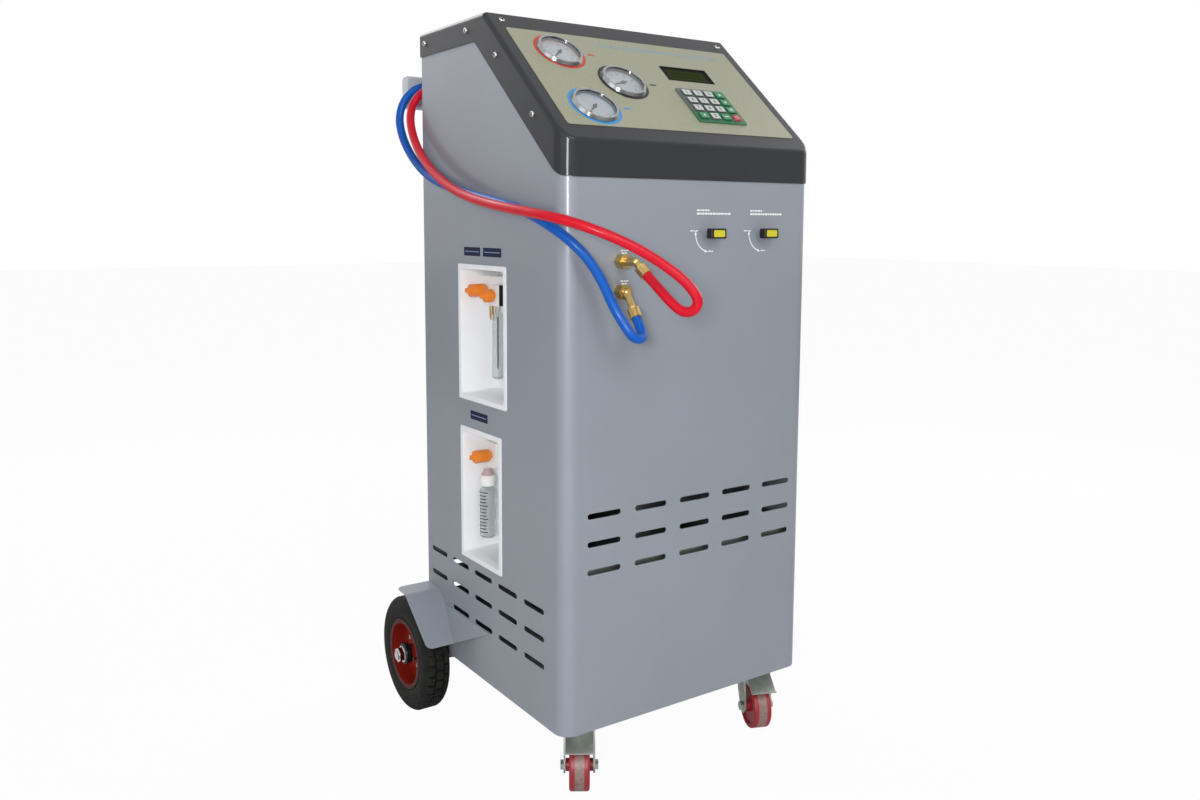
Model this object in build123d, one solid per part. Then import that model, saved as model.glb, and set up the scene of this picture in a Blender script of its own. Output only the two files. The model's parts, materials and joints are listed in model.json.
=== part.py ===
from build123d import *
import os
from math import atan2, cos, degrees, hypot, pi, radians, sin, tan

# Air conditioning recharge station, in millimetres.
# X runs to the right seen from the front, Y to the rear, Z up from the floor.

# Cabinet
cabinet_width = 500.0
cabinet_depth = 470.0
floor_clearance = 124.0
body_height = 852.0
corner_radius = 25.0
sheet = 1.5
hem = 16.0
seam = 0.3
tray_lip = 25.0

# Hood with its sloping console
hood_sheet = 2.0
band_height = 55.0
console_rise = 212.0
crest_along = 1.3
edge_round = 8.0
strip_width = 52.0
strip_drop = 42.0
strip_foot = 30.0
strip_bend = [(0.22, 0.74), (0.48, 0.42), (0.76, 0.16)]
strip_start = 5.0

# Ventilation slots
slot_length = 62.0
slot_height = 9.0
slot_columns = 5
slot_rows = 3
front_slot_margins = (75.0, 67.0)
side_slot_margins = (48.0, 86.0)
slot_row_pitch = 44.0
front_slot_top = 466.0
side_slot_top = 307.5
rear_slot_columns = 3
rear_slot_rows = 5
rear_slot_pitch = 26.0
rear_slot_first = 20.0
rear_slot_rise = 190.0

# Power inlet in the rear panel
inlet_inset = 90.0
inlet_foot = 180.0
inlet_width = 48.0
inlet_height = 26.0
inlet_depth = 27.0
inlet_proud = 5.0
inlet_wall = 4.0

# Console overlay, gauges, display and keypad, placed across and down the slope
overlay_margin = 22.0
overlay_length = 247.0
overlay_down = 163.0
overlay_thickness = 0.8
overlay_corner = 5.0
gauge_places = [(-152.0, 94.5), (-64.0, 165.0), (-156.0, 237.5)]
gauge_names = ["high_pressure", "cylinder_pressure", "low_pressure"]
gauge_angles = [0.0, 25.0, 0.0]
gauge_case_radius = 36.0
gauge_wall = 2.0
gauge_depth = 32.0
dial_recess = 3.0
bezel_width = 4.0
bezel_height = 6.2
bezel_lip = 1.6
lens_thickness = 2.0
pivot_radius = 1.0
pivot_play = 0.05
needle_length = 27.0
needle_tail = 9.0
needle_sweep = 270.0
display_across = 92.5
display_down = 124.0
display_width = 102.0
display_length = 41.0
display_board_margin = 12.0
display_sunk = 2.2
display_glass = 7.0
keypad_across = 88.6
keypad_down = 215.0
keypad_width = 102.0
keypad_length = 90.0
keypad_lip = 3.0
keypad_wall = 2.0
keypad_plate = 2.5
key_width = 18.0
key_length = 15.0
key_pitch_across = 23.6
key_pitch_down = 20.6
key_gap = 0.2
key_round = 2.0
stop_key_round = 7.0
key_proud = 3.0
key_flange = 1.0
key_flange_thickness = 1.2
key_travel = 1.5
key_play = 0.1
board_thickness = 1.6
key_names = [
    ["key_1", "key_2", "key_3", "key_up"],
    ["key_4", "key_5", "key_6", "key_down"],
    ["key_7", "key_8", "key_9", "key_menu"],
    ["key_back", "key_0", "key_enter", "key_stop"],
]

# Panel screws
screw_head_radius = 4.6
screw_head_height = 2.6
screw_radius = 2.0
screw_length = 9.0
screw_play = 0.3
strip_screws = [(217.0, 21.0), (60.0, 21.0), (-40.0, 21.0), (-153.0, 21.0)]
console_screw = (24.0, 19.0)

# Valves and hose ports on the front
valve_places = [27.0, 140.0]
valve_drop = 83.0
stem_radius = 4.0
stem_play = 0.05
stem_hole_play = 1.0
handle_gap = 11.0
handle_width = 31.0
handle_height = 16.0
handle_depth = 12.0
handle_end = 1.0
valve_turn = 90.0
port_inset = 102.0
red_port_rise = 18.0
blue_port_rise = 36.0
port_neck_radius = 7.0
nut_flats = 21.0
nut_length = 15.0
pipe_radius = 6.0
leg_radius = 6.5
ferrule_radius = 9.5
ferrule_length = 13.0
manifold_depth = 34.0
manifold_margin = 20.0

# Service hoses. The points are chosen by hand along the real route: first from the upper corner
# at the left front, then from the one at the left rear.
hose_diameter = 15.0
red_front_run = [
    (108, -57, -409), (115, -80, -430), (121, -103, -450), (128, -118, -461), (135, -131, -459),
    (139, -138, -450), (137, -139, -437), (123, -128, -415), (100, -110, -393), (66, -93, -370),
    (28, -71, -350), (-7, -42, -334), (-29, -3, -324), (-34, 75, -315), (-34, 175, -304),
]
red_rear_run = [
    (-32, -190, -284), (-28, -95, -249), (-22, -23, -206), (-16, 19, -161), (-6, 37, -127),
    (12, 36, -100), (40, 27, -87), (74, 25, -84), (106, 26, -94), (129, 28, -117),
    (139, 30, -153), (143, 31, -219), (141, 33, -338), (145, 31, -475), (142, 32, -643),
    (144, 31, -805),
]
blue_front_run = [
    (102, -41, -473), (102, -48, -483), (102, -56, -494), (98, -62, -500), (90, -66, -502),
    (81, -68, -500), (73, -66, -494), (58, -46, -457), (45, -38, -421), (24, -27, -383),
    (0, -9, -355), (-14, 23, -335), (-16, 95, -313), (-14, 196, -299),
]
blue_rear_run = [
    (-14, -151, -280), (-15, -45, -253), (-18, 22, -210), (-20, 58, -162), (-14, 66, -125),
    (3, 61, -97), (31, 54, -83), (61, 50, -78), (90, 49, -83), (104, 49, -109),
    (107, 50, -151), (105, 48, -219), (103, 46, -338), (107, 47, -518), (104, 46, -716),
    (106, 47, -913),
]
coupler_radius = 13.0
coupler_length = 58.0
coupler_knob_radius = 11.0
coupler_knob_length = 22.0
high_socket_radius = 8.0
low_socket_radius = 6.5
socket_depth = 18.0
bush_radius = 9.0
bush_length = 14.0

# Bottle recesses in the left side: rear edge, front edge, foot and head of each flange
recess_frames = [(98.0, -67.0, 607.0, 839.0), (95.0, -48.0, 327.0, 559.0)]
recess_flange = 8.0
recess_flange_thickness = 1.6
recess_wall = 2.0
recess_depth = 70.0
recess_taper = 4.0
recess_corner = 6.0
recess_flange_corner = 3.0
recess_play = 0.5

# Bottle heads, each by its place along the side, foot, height, width, depth and coupler length
upper_head = (66.0, 770.0, 48.0, 32.0, 32.0, 26.0)
second_head = (14.0, 770.0, 36.0, 24.0, 46.0, 12.0)
lower_head = (56.0, 486.0, 44.0, 32.0, 32.0, 26.0)

# Bottles, each by its depth behind the left side, place along it, foot, radius and neck radius
slim_bottle = (29.0, 14.0, 648.0, 10.0, 5.5)
wide_bottle = (30.0, 56.0, 364.0, 14.0, 9.0)
bottle_wall = 1.2
bottle_foot_bevel = 3.0
bottle_shoulder = 6.0
neck_length = 10.0
cone_radius = 14.0
cone_height = 22.0
cone_rim = 5.0
cone_tip_radius = 5.0
cap_height = 8.0
cap_play = 0.3
dip_tube_radius = 4.0
dip_tube_length = 30.0
quick_radius = 11.0
quick_rib = 6.0
quick_neck_radius = 6.0
quick_neck = 5.0
quick_tip_radius = 4.5
quick_tip = 8.0

# Rear wheels, axle and fenders
tyre_radius = 105.0
tyre_width = 50.0
rim_radius = 63.0
rim_lip = 3.0
rim_wall = 3.0
hub_radius = 15.0
axle_radius = 8.0
axle_play = 0.05
axle_rear = 3.0
wheel_gap = 3.0
washer_radius = 15.0
washer_thickness = 2.0
axle_nut_flats = 24.0
axle_nut_length = 9.0
end_play = 0.3
tread_blocks = 34
tread_groove = 4.0
tread_depth = 4.5
tread_rib = 8.0
rib_groove = 2.4
lightening_holes = 5
fender_width = 66.0
fender_top = 237.0
fender_bend = (-40.0, 235.0)
fender_foot = (-132.0, 164.0)
fender_corner = 12.0
fender_bend_radius = 14.0
gusset_top = 214.0
gusset_front = -240.0
gusset_out = 14.0
axle_bracket_thickness = 5.0
axle_bracket_inset = 30.0
axle_bracket_ahead = 110.0
axle_bracket_behind = 22.0
axle_bracket_drop = 20.0
axle_bracket_foot = 40.0
axle_bracket_flange = 3.0

# Front casters
caster_insets = [80.0, 42.0]
caster_setback = 76.0
caster_headings = [-33.0, -22.0]
caster_radius = 40.0
caster_width = 33.0
caster_trail = 24.0
caster_hub_radius = 10.0
caster_plate_width = 70.0
caster_plate_length = 90.0
caster_plate = 4.0
race_radius = 25.0
race_height = 8.0
kingpin_radius = 6.0
kingpin_play = 0.05
fork_inside = 45.0
fork_sheet = 3.0
fork_crown = 4.0
fork_gap = 0.3
fork_length = 56.0
fork_end_radius = 13.0
axle_bolt_radius = 5.0
bolt_play = 0.05
bolt_head_flats = 15.0
bolt_head = 5.0
pedal_pin_radius = 2.5
pedal_pin = (-10.0, 90.0)
pedal_top = (-31.0, 101.0)
pedal_lip = (-63.0, 77.0)
pedal_sheet = 2.0
pedal_arm = 2.5
pedal_side_play = 0.4
pedal_travel = 6.0

# Rear handle rail
rail_inset = 3.0
rail_height = 60.0
rail_thickness = 22.0
rail_rear = 330.0
rail_drop = 18.0
rail_edge = 8.0
rail_wall = 3.0
arm_radius = 10.0
arm_inset = 80.0
arm_rest = 5.5
arm_foot_radius = 24.0
arm_foot_thickness = 4.0

# Inside the cabinet
shelf_height = 390.0
shelf_front_gap = 12.0
shelf_flange = 42.0
shelf_notch = 78.0
platform_size = 226.0
platform_thickness = 4.0
load_cell_height = 18.0
load_cell_width = 34.0
tank_inset = 195.0
tank_along = 60.0
tank_radius = 112.0
tank_height = 400.0
tank_dome = 40.0
tank_wall = 4.0
collar_radius = 60.0
collar_height = 45.0
pump_inset = 120.0
pump_along = -10.0
pump_radius = 55.0
pump_length = 130.0
motor_radius = 62.0
motor_length = 170.0
compressor_inset = 155.0
compressor_along = -90.0
compressor_radius = 80.0
compressor_height = 190.0
compressor_wall = 22.0
condenser_gap = 14.0
condenser_thickness = 34.0
condenser_along = 30.0
condenser_size = 260.0
condenser_foot = 400.0
condenser_fins = 24
fan_radius = 105.0
fan_blades = 5
fan_hub_radius = 26.0
fan_hub_length = 22.0
fan_bore_radius = 4.0
fan_play = 0.05
shroud_depth = 30.0

# Derived places
half_width = cabinet_width / 2
front = -cabinet_depth / 2
rear = cabinet_depth / 2
underside = floor_clearance
hood_foot = underside + body_height
console_foot = hood_foot + band_height
hood_top = console_foot + console_rise
hood_front = front - seam - hood_sheet
hood_rear = rear + seam + hood_sheet
hood_half = half_width + seam + hood_sheet
crest = crest_along
slope = atan2(console_rise, crest - hood_front)
slope_length = hypot(console_rise, crest - hood_front)
tray_top = underside + sheet
panel_rear = rear + sheet
console = Plane(origin=(0, crest, hood_top), x_dir=(1, 0, 0), z_dir=(0, -sin(slope), cos(slope)))
needle_base = overlay_thickness - dial_recess + 1.2
axle_along = rear + axle_rear
wheel_across = half_width + wheel_gap + tyre_width / 2
overlay_width = cabinet_width - 2 * overlay_margin
front_slot_left = front_slot_margins[0] - half_width
front_slot_pitch = (cabinet_width - sum(front_slot_margins)) / (slot_columns - 1)
side_slot_rear = rear - side_slot_margins[0]
side_slot_pitch = (cabinet_depth - sum(side_slot_margins)) / (slot_columns - 1)
valve_height = hood_foot - valve_drop
port_across = port_inset - half_width
red_port_height = hood_top + red_front_run[0][2] + red_port_rise
blue_port_height = hood_top + blue_front_run[0][2] + blue_port_rise
rail_length = cabinet_width - 2 * rail_inset
arm_across = half_width - arm_inset
hose_crest = hood_top + max(point[2] for point in red_rear_run)
arm_height = hose_crest - hose_diameter / 2 - arm_radius - arm_rest
rail_foot = arm_height - rail_drop
tank_across = tank_inset - half_width
pump_across = half_width - pump_inset
compressor_across = compressor_inset - half_width
condenser_right = half_width - condenser_gap
parts = {}


def on_console(across, down, height=0.0):
    """Location on the console, given across it, down its slope and above it."""
    return Location(console) * Pos(across, -down, height)


def cylinder(radius, bottom, top):
    """Upright cylinder between two heights."""
    return Pos(0, 0, (bottom + top) / 2) * Cylinder(radius, top - bottom)


def hexagon(flats, bottom, top):
    """Upright hexagonal prism between two heights."""
    face = RegularPolygon(flats / 2, 6, major_radius=False)
    return extrude(Pos(0, 0, bottom) * face, top - bottom)


def block(x0, x1, y0, y1, z0, z1):
    """Box between two opposite corners."""
    return Pos((x0 + x1) / 2, (y0 + y1) / 2, (z0 + z1) / 2) * Box(x1 - x0, y1 - y0, z1 - z0)


def side_prism(points, width):
    """Prism across the whole width from an outline of (y, z) points."""
    face = Plane.YZ * make_face(Polyline(*points, close=True))
    return extrude(face, width / 2, both=True)


def between(start, end, radius):
    """Round bar from one point to another."""
    path = Vector(*end) - Vector(*start)
    plane = Plane(origin=start, z_dir=path)
    return extrude(plane * Circle(radius), path.length)


def slope_height(along, inset):
    """Height of the console's surface, moved inward by inset, at a place along Y."""
    return hood_top + (along - crest) * tan(slope) - inset / cos(slope)


def slope_meets(height, inset):
    """Place along Y where the console's surface, moved inward by inset, reaches a height."""
    return crest + (height - hood_top + inset / cos(slope)) / tan(slope)


def rounded_plan(half, ahead, behind, radius):
    """Plan outline of the cabinet with its two rounded front corners."""
    outline = Rectangle(2 * half, behind - ahead)
    corners = outline.vertices().sort_by(Axis.Y)[:2]
    return Pos(0, (ahead + behind) / 2) * fillet(corners, radius)


def slots(columns, rows, pitch, row_pitch, first, top):
    """Flat pattern of stadium slots, columns running along local X and rows downward."""
    places = [Pos(first + i * pitch, top - j * row_pitch) for i in range(columns) for j in range(rows)]
    return [place * SlotOverall(slot_length, slot_height) for place in places]


def hood_solid(inset):
    """Closed body of the hood, moved inward by inset."""
    ahead = hood_front + inset
    behind = hood_rear - inset
    top = hood_top - inset
    points = [
        (ahead, hood_foot - inset),
        (ahead, slope_height(ahead, inset)),
        (slope_meets(top, inset), top),
        (behind, top),
        (behind, hood_foot - inset),
    ]
    body = side_prism(points, 2 * (hood_half - inset))
    uprights = body.edges().filter_by(Axis.Z).sort_by(Axis.Y)[:2]
    body = fillet(uprights, corner_radius + seam + hood_sheet - inset)
    rims = [edge for edge in body.faces().sort_by(Axis.Z)[-1].edges() if abs(edge.center().X) > 1]
    sloping = body.faces().filter_by(lambda f: abs(f.normal_at().Y + sin(slope)) < 0.01)[0]
    rims += [edge for edge in sloping.edges() if abs(edge.center().X) > 1]
    return fillet(ShapeList(rims), edge_round - inset)


def screw_places():
    """Places of the screws, each with its outward Z axis."""
    places = []
    for side in (-1, 1):
        for along, inset in strip_screws:
            height = min(hood_top - inset, slope_height(along, inset + 6))
            face = Plane(origin=(side * hood_half, along, height), x_dir=(0, 1, 0), z_dir=(side, 0, 0))
            places.append(Location(face))
        places.append(on_console(side * (half_width - console_screw[0]), console_screw[1]))
    return places


def make_hood():
    shell = hood_solid(0) - hood_solid(hood_sheet)
    shell -= block(-half_width, half_width, front, rear, hood_foot - 10, hood_foot + 1)
    strip_top = hood_top - strip_drop
    cut_front = hood_front + strip_foot
    corner_along = front + strip_start
    corner_rise = slope_height(cut_front, strip_width) - hood_foot
    bend = [(cut_front + along * (corner_along - cut_front), hood_foot + rise * corner_rise) for along, rise in strip_bend]
    below_strip = [
        (corner_along, hood_foot - 20),
        (corner_along, hood_foot),
        *reversed(bend),
        (cut_front, slope_height(cut_front, strip_width)),
        (slope_meets(strip_top, strip_width), strip_top),
        (hood_rear + 10, strip_top),
        (hood_rear + 10, hood_foot - 20),
    ]
    shell -= side_prism(below_strip, 3 * cabinet_width)
    for across, down in gauge_places:
        shell -= on_console(across, down) * Cylinder(gauge_case_radius + seam, 20)
    shell -= on_console(display_across, display_down) * Box(display_width + 2 * seam, display_length + 2 * seam, 20)
    well = Box(keypad_width - 2 * keypad_lip + 2 * seam, keypad_length - 2 * keypad_lip + 2 * seam, 20)
    shell -= on_console(keypad_across, keypad_down) * well
    for place in screw_places():
        shell -= place * Cylinder(screw_radius + screw_play, 12)
    return shell


def make_cabinet_wrap():
    outer = extrude(Pos(0, 0, underside) * rounded_plan(half_width, front, rear, corner_radius), hood_top - underside)
    inside_plan = rounded_plan(half_width - sheet, front + sheet, rear - sheet, corner_radius - sheet)
    inner = extrude(Pos(0, 0, underside - 1) * inside_plan, hood_top - underside + 2)
    wrap = outer - inner
    wrap -= block(hem - half_width, half_width - hem, rear - 10, rear + 10, underside - 1, hood_top + 1)
    inset = hood_sheet + edge_round + seam
    above = [
        (front - 20, slope_height(front - 20, inset)),
        (slope_meets(hood_top - inset, inset), hood_top - inset),
        (rear + 20, hood_top - inset),
        (rear + 20, hood_top + 50),
        (front - 20, hood_top + 50),
    ]
    wrap -= side_prism(above, 2 * cabinet_width)
    front_face = Plane(origin=(0, front, 0), x_dir=(1, 0, 0), z_dir=(0, -1, 0))
    cuts = slots(slot_columns, slot_rows, front_slot_pitch, slot_row_pitch, front_slot_left, front_slot_top)
    wrap -= [extrude(front_face * cut, 5, both=True) for cut in cuts]
    for side in (-1, 1):
        face = Plane(origin=(side * half_width, 0, 0), x_dir=(0, 1, 0), z_dir=(1, 0, 0))
        places = slots(slot_columns, slot_rows, -side_slot_pitch, slot_row_pitch, side_slot_rear, side_slot_top)
        covered = slot_rows - 1
        places = [cut for i, cut in enumerate(places) if i != covered]
        wrap -= [extrude(face * cut, 5, both=True) for cut in places]
    left_face = Plane(origin=(-half_width, 0, 0), x_dir=(0, 1, 0), z_dir=(1, 0, 0))
    for behind, ahead, foot, head in recess_frames:
        edge = recess_flange - recess_wall - recess_play
        opening = Rectangle(behind - ahead - 2 * edge, head - foot - 2 * edge)
        opening = fillet(opening.vertices(), recess_corner + recess_wall + recess_play)
        wrap -= extrude(left_face * Pos((behind + ahead) / 2, (foot + head) / 2) * opening, 5, both=True)
    for across in valve_places:
        wrap -= front_location(across, valve_height) * Cylinder(stem_radius + stem_hole_play, 20)
    for height in (red_port_height, blue_port_height):
        wrap -= front_location(port_across, height) * Cylinder(port_neck_radius + seam, 20)
    for place in screw_places():
        wrap -= place * Cylinder(screw_radius + screw_play, 2 * screw_length)
    return wrap


def front_location(across, height, ahead=0.0):
    """Location on the front sheet with its Z axis toward the user."""
    face = Plane(origin=(across, front - ahead, height), x_dir=(1, 0, 0), z_dir=(0, -1, 0))
    return Location(face)


def make_base_tray():
    gap = sheet + seam
    plan = rounded_plan(half_width - gap, front + gap, rear - gap, corner_radius - gap)
    inner_gap = gap + sheet
    inner = rounded_plan(half_width - inner_gap, front + inner_gap, rear - inner_gap, corner_radius - inner_gap)
    tray = extrude(Pos(0, 0, underside) * plan, tray_lip) - extrude(Pos(0, 0, tray_top) * inner, tray_lip)
    return tray


def make_rear_panel():
    half = half_width - seam
    panel = block(-half, half, rear, panel_rear, underside + seam, hood_top - strip_drop - 1)
    face = Plane(origin=(0, rear, 0), x_dir=(1, 0, 0), z_dir=(0, -1, 0))
    cuts = slots(slot_columns, slot_rows, front_slot_pitch, slot_row_pitch, front_slot_left, side_slot_top)
    cuts += slots(rear_slot_columns, rear_slot_rows, front_slot_pitch, rear_slot_pitch, rear_slot_first,
                  condenser_foot + rear_slot_rise)
    panel -= [extrude(face * cut, 5, both=True) for cut in cuts]
    left = inlet_inset - half_width
    right = left + inlet_width
    head = inlet_foot + inlet_height
    back = rear + inlet_proud - inlet_depth
    inlet = block(left, right, back, rear + inlet_proud, inlet_foot, head)
    inlet -= block(left + inlet_wall, right - inlet_wall, back + inlet_wall, rear + 2 * inlet_proud,
                   inlet_foot + inlet_wall, head - inlet_wall)
    panel -= block(left - seam, right + seam, rear - 5, rear + 5, inlet_foot - seam, head + seam)
    return [panel, inlet]


def make_overlay():
    face = Rectangle(overlay_width, overlay_length)
    face = fillet(face.vertices(), overlay_corner)
    overlay = on_console(0, overlay_down) * extrude(face, overlay_thickness)
    for across, down in gauge_places:
        overlay -= on_console(across, down) * Cylinder(gauge_case_radius + seam, 20)
    overlay -= on_console(display_across, display_down) * Box(display_width + 2 * seam, display_length + 2 * seam, 20)
    well = Box(keypad_width - 2 * keypad_lip + 2 * seam, keypad_length - 2 * keypad_lip + 2 * seam, 20)
    overlay -= on_console(keypad_across, keypad_down) * well
    return overlay


def make_gauges():
    rim_top = overlay_thickness + bezel_height - bezel_lip - lens_thickness
    face_height = overlay_thickness - dial_recess
    cases, bezels, lenses = [], [], []
    for (across, down), name, angle in zip(gauge_places, gauge_names, gauge_angles):
        case = cylinder(gauge_case_radius, -gauge_depth, rim_top)
        case -= cylinder(gauge_case_radius - gauge_wall, face_height, rim_top + 1)
        case += cylinder(pivot_radius, face_height, needle_base + 2.2)
        case += cylinder(gauge_case_radius * 0.35, -gauge_depth - 8, -gauge_depth)
        case += hexagon(14, -gauge_depth - 20, -gauge_depth - 8)
        cases.append(on_console(across, down) * case)
        outer = gauge_case_radius + bezel_width
        top = overlay_thickness + bezel_height
        bore = gauge_case_radius + seam
        section = Polyline(
            (bore, overlay_thickness), (outer, overlay_thickness), (outer, overlay_thickness + 1.5),
            (outer - 2.2, top), (gauge_case_radius - gauge_wall, top),
            (gauge_case_radius - gauge_wall, top - bezel_lip), (bore, top - bezel_lip), close=True,
        )
        bezel = revolve(Plane.XZ * make_face(section), Axis.Z)
        bezels.append(on_console(across, down) * bezel)
        lens = cylinder(gauge_case_radius, rim_top, rim_top + lens_thickness)
        lenses.append(on_console(across, down) * lens)
        parts["needle_" + name] = on_console(across, down) * Rot(0, 0, 225 - angle) * make_needle()
    parts["gauge_cases"] = cases
    parts["gauge_bezels"] = bezels
    parts["gauge_lenses"] = lenses


def make_needle():
    hub = cylinder(3.6, needle_base, needle_base + 1.6)
    pointer = Polyline((-needle_tail, 1.6), (0, 2.0), (needle_length, 0.4), (needle_length, -0.4), (0, -2.0),
                       (-needle_tail, -1.6), close=True)
    needle = hub + extrude(Pos(0, 0, needle_base) * make_face(pointer), 0.9)
    needle -= cylinder(pivot_radius + pivot_play, needle_base - 1, needle_base + 3)
    return needle


def make_display():
    glass = Box(display_width, display_length, display_glass)
    board = Box(display_width + 2 * display_board_margin, display_length + 2 * display_board_margin, board_thickness)
    module = Pos(0, 0, overlay_thickness - display_sunk - display_glass / 2) * glass
    board_height = -hood_sheet - 2.0 - board_thickness / 2
    module += Pos(0, 0, board_height) * board
    return on_console(display_across, display_down) * module


def key_outline(name, grow=0.0):
    """Plan outline of a key, grown by a clearance."""
    radius = stop_key_round if name == "key_stop" else key_round
    width = key_width - 1.5 if name == "key_stop" else key_width
    face = Rectangle(width + 2 * grow, key_length + 2 * grow)
    return fillet(face.vertices(), radius + grow)


def key_grid():
    """Every key's name with its place on the console."""
    for row, names in enumerate(key_names):
        for column, name in enumerate(names):
            across = keypad_across + (column - 1.5) * key_pitch_across
            down = keypad_down + (row - 1.5) * key_pitch_down
            yield name, on_console(across, down)


def make_keypad():
    plate_foot = overlay_thickness
    plate_top = plate_foot + keypad_plate
    pocket = key_play + key_flange_thickness + key_travel + key_play
    plate = Rectangle(keypad_width, keypad_length)
    frame = extrude(Pos(0, 0, plate_foot) * fillet(plate.vertices(), 3), keypad_plate)
    body_width = keypad_width - 2 * keypad_lip
    body_length = keypad_length - 2 * keypad_lip
    frame += Pos(0, 0, plate_foot - pocket / 2) * Box(body_width, body_length, pocket)
    frame -= Pos(0, 0, plate_foot - pocket / 2) * Box(body_width - 2 * keypad_wall, body_length - 2 * keypad_wall, pocket)
    frame = on_console(keypad_across, keypad_down) * frame
    board = Pos(0, 0, plate_foot - pocket - board_thickness / 2) * Box(body_width, body_length, board_thickness)
    for name, place in key_grid():
        frame -= place * extrude(Pos(0, 0, plate_foot - 1) * key_outline(name, key_gap), keypad_plate + 2)
        cap = extrude(Pos(0, 0, plate_foot - key_play) * key_outline(name), keypad_plate + key_proud + key_play)
        cap = chamfer(cap.faces().sort_by(Axis.Z)[-1].edges(), 0.6)
        foot = plate_foot - key_play - key_flange_thickness
        cap += extrude(Pos(0, 0, foot) * key_outline(name, key_flange), key_flange_thickness)
        parts[name] = place * cap
    parts["keypad_frame"] = [frame, on_console(keypad_across, keypad_down) * board]


def make_screws():
    screws = []
    for place in screw_places():
        head = Cylinder(screw_head_radius, screw_head_height)
        head = fillet(head.edges().sort_by(Axis.Z)[-1], 1.6)
        shank = cylinder(screw_radius, -screw_length, 0)
        screws.append(place * (Pos(0, 0, screw_head_height / 2) * head + shank))
    return screws


def elbow(height, route):
    """Brass port: neck through the sheet, nut, elbow and the ferrule in line with the hose's start."""
    port = front_location(port_across, height)
    end = Vector(*route[0])
    direction = (Vector(*route[1]) - end).normalized()
    corner = end + direction * ((height - end.Z) / direction.Z)
    piece = port * cylinder(port_neck_radius, -sheet, nut_length)
    piece += port * hexagon(nut_flats, 0, nut_length)
    piece += between((port_across, front, height), corner, leg_radius)
    piece += Pos(corner) * Sphere(leg_radius)
    piece += between(corner, end, leg_radius - 1)
    piece += between(end - direction * ferrule_length, end, ferrule_radius)
    return piece


def make_manifold():
    face = front + sheet
    low = blue_port_height - manifold_margin
    high = red_port_height + manifold_margin
    body = block(port_across - manifold_margin, port_across + manifold_margin, face, face + manifold_depth, low, high)
    left = valve_places[0] - manifold_margin
    right = valve_places[1] + manifold_margin
    body += block(left, right, face, face + manifold_depth, valve_height - 18, valve_height + 18)
    middle = face + manifold_depth / 2
    body += between((port_across, middle, low + manifold_margin), (port_across, middle, valve_height), pipe_radius)
    body += between((port_across, middle, valve_height), (left + 1, middle, valve_height), pipe_radius)
    body += Pos(port_across, middle, valve_height) * Sphere(pipe_radius)
    for across in valve_places:
        body += front_location(across, valve_height) * cylinder(stem_radius, -sheet - 1, handle_gap + handle_depth - 5)
    body += elbow(red_port_height, routed(red_front_run, red_rear_run))
    body += elbow(blue_port_height, routed(blue_front_run, blue_rear_run))
    return body


def make_valve_handle(across):
    grip = Box(handle_width, handle_height, handle_depth)
    grip = fillet(grip.edges().filter_by(Axis.Z), 3)
    grip = chamfer(grip.faces().sort_by(Axis.Z)[-1].edges(), handle_end)
    grip = Pos(0, 0, handle_gap + handle_depth / 2) * grip
    grip += cylinder(7, handle_gap - 6, handle_gap)
    grip -= cylinder(stem_radius + stem_play, handle_gap - 8, handle_gap + handle_depth - 4.5)
    return front_location(across, valve_height) * grip


def routed(front_run, rear_run):
    """Points of a hose in the cabinet's own place."""
    points = [(x - half_width, front + y, hood_top + z) for x, y, z in front_run]
    return points + [(x - half_width, rear + y, hood_top + z) for x, y, z in rear_run]


def make_hose(name, route):
    """Tube along straight runs joined by arcs as large as the runs allow."""
    points = [Vector(*point) for point in route]
    radii = []
    for a, b, c in zip(points, points[1:], points[2:]):
        turn = radians((b - a).get_angle(c - b))
        radii.append(0.45 * min((b - a).length, (c - b).length) / tan(turn / 2))
    path = FilletPolyline(*points, radius=radii)
    start = Plane(origin=points[0], z_dir=points[1] - points[0])
    tube = sweep(start * Circle(hose_diameter / 2), path=path)
    section = pi * hose_diameter ** 2 / 4
    print(name, "length", round(path.length, 1), "volume share", round(tube.volume / (section * path.length), 4))
    print(name, "radii", [round(radius) for radius in radii])
    return tube


def make_service_coupler(route, socket_radius):
    """Quick coupler hanging from a hose's end, with its turn knob and the socket underneath."""
    end = Vector(*route[-1])
    direction = end - Vector(*route[-2])
    plane = Plane(origin=end, z_dir=direction)
    body = cylinder(bush_radius, 0, bush_length)
    body += cylinder(coupler_radius, bush_length, bush_length + coupler_length)
    body = chamfer(body.edges().filter_by(GeomType.CIRCLE).group_by(Axis.Z)[-1], 1.5)
    middle = bush_length + coupler_length * 0.45
    knob = Rot(0, 90, 0) * cylinder(coupler_knob_radius, 0, coupler_radius + coupler_knob_length)
    body += Pos(0, 0, middle) * knob
    bottom = bush_length + coupler_length
    body -= cylinder(socket_radius, bottom - socket_depth, bottom + 1)
    return Location(plane) * body


def make_recesses():
    tubs = []
    outward = Plane(origin=(-half_width, 0, 0), x_dir=(0, 1, 0), z_dir=(1, 0, 0))
    for behind, ahead, foot, head in recess_frames:
        middle = Pos((behind + ahead) / 2, (foot + head) / 2)
        width = behind - ahead
        height = head - foot
        flange = fillet(Rectangle(width, height).vertices(), recess_flange_corner)
        mouth_width = width - 2 * recess_flange
        mouth_height = height - 2 * recess_flange
        mouth = fillet(Rectangle(mouth_width, mouth_height).vertices(), recess_corner)
        grown = Rectangle(mouth_width + 2 * recess_wall, mouth_height + 2 * recess_wall)
        skin = fillet(grown.vertices(), recess_corner + recess_wall)
        tub = extrude(outward * middle * skin, recess_depth, taper=recess_taper)
        tub += extrude(outward * middle * flange, -recess_flange_thickness)
        tub -= extrude(outward * middle * mouth, recess_depth - recess_wall, taper=recess_taper)
        tub -= extrude(outward * middle * mouth, -2 * recess_flange_thickness)
        tubs.append(tub)
    return tubs


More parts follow.
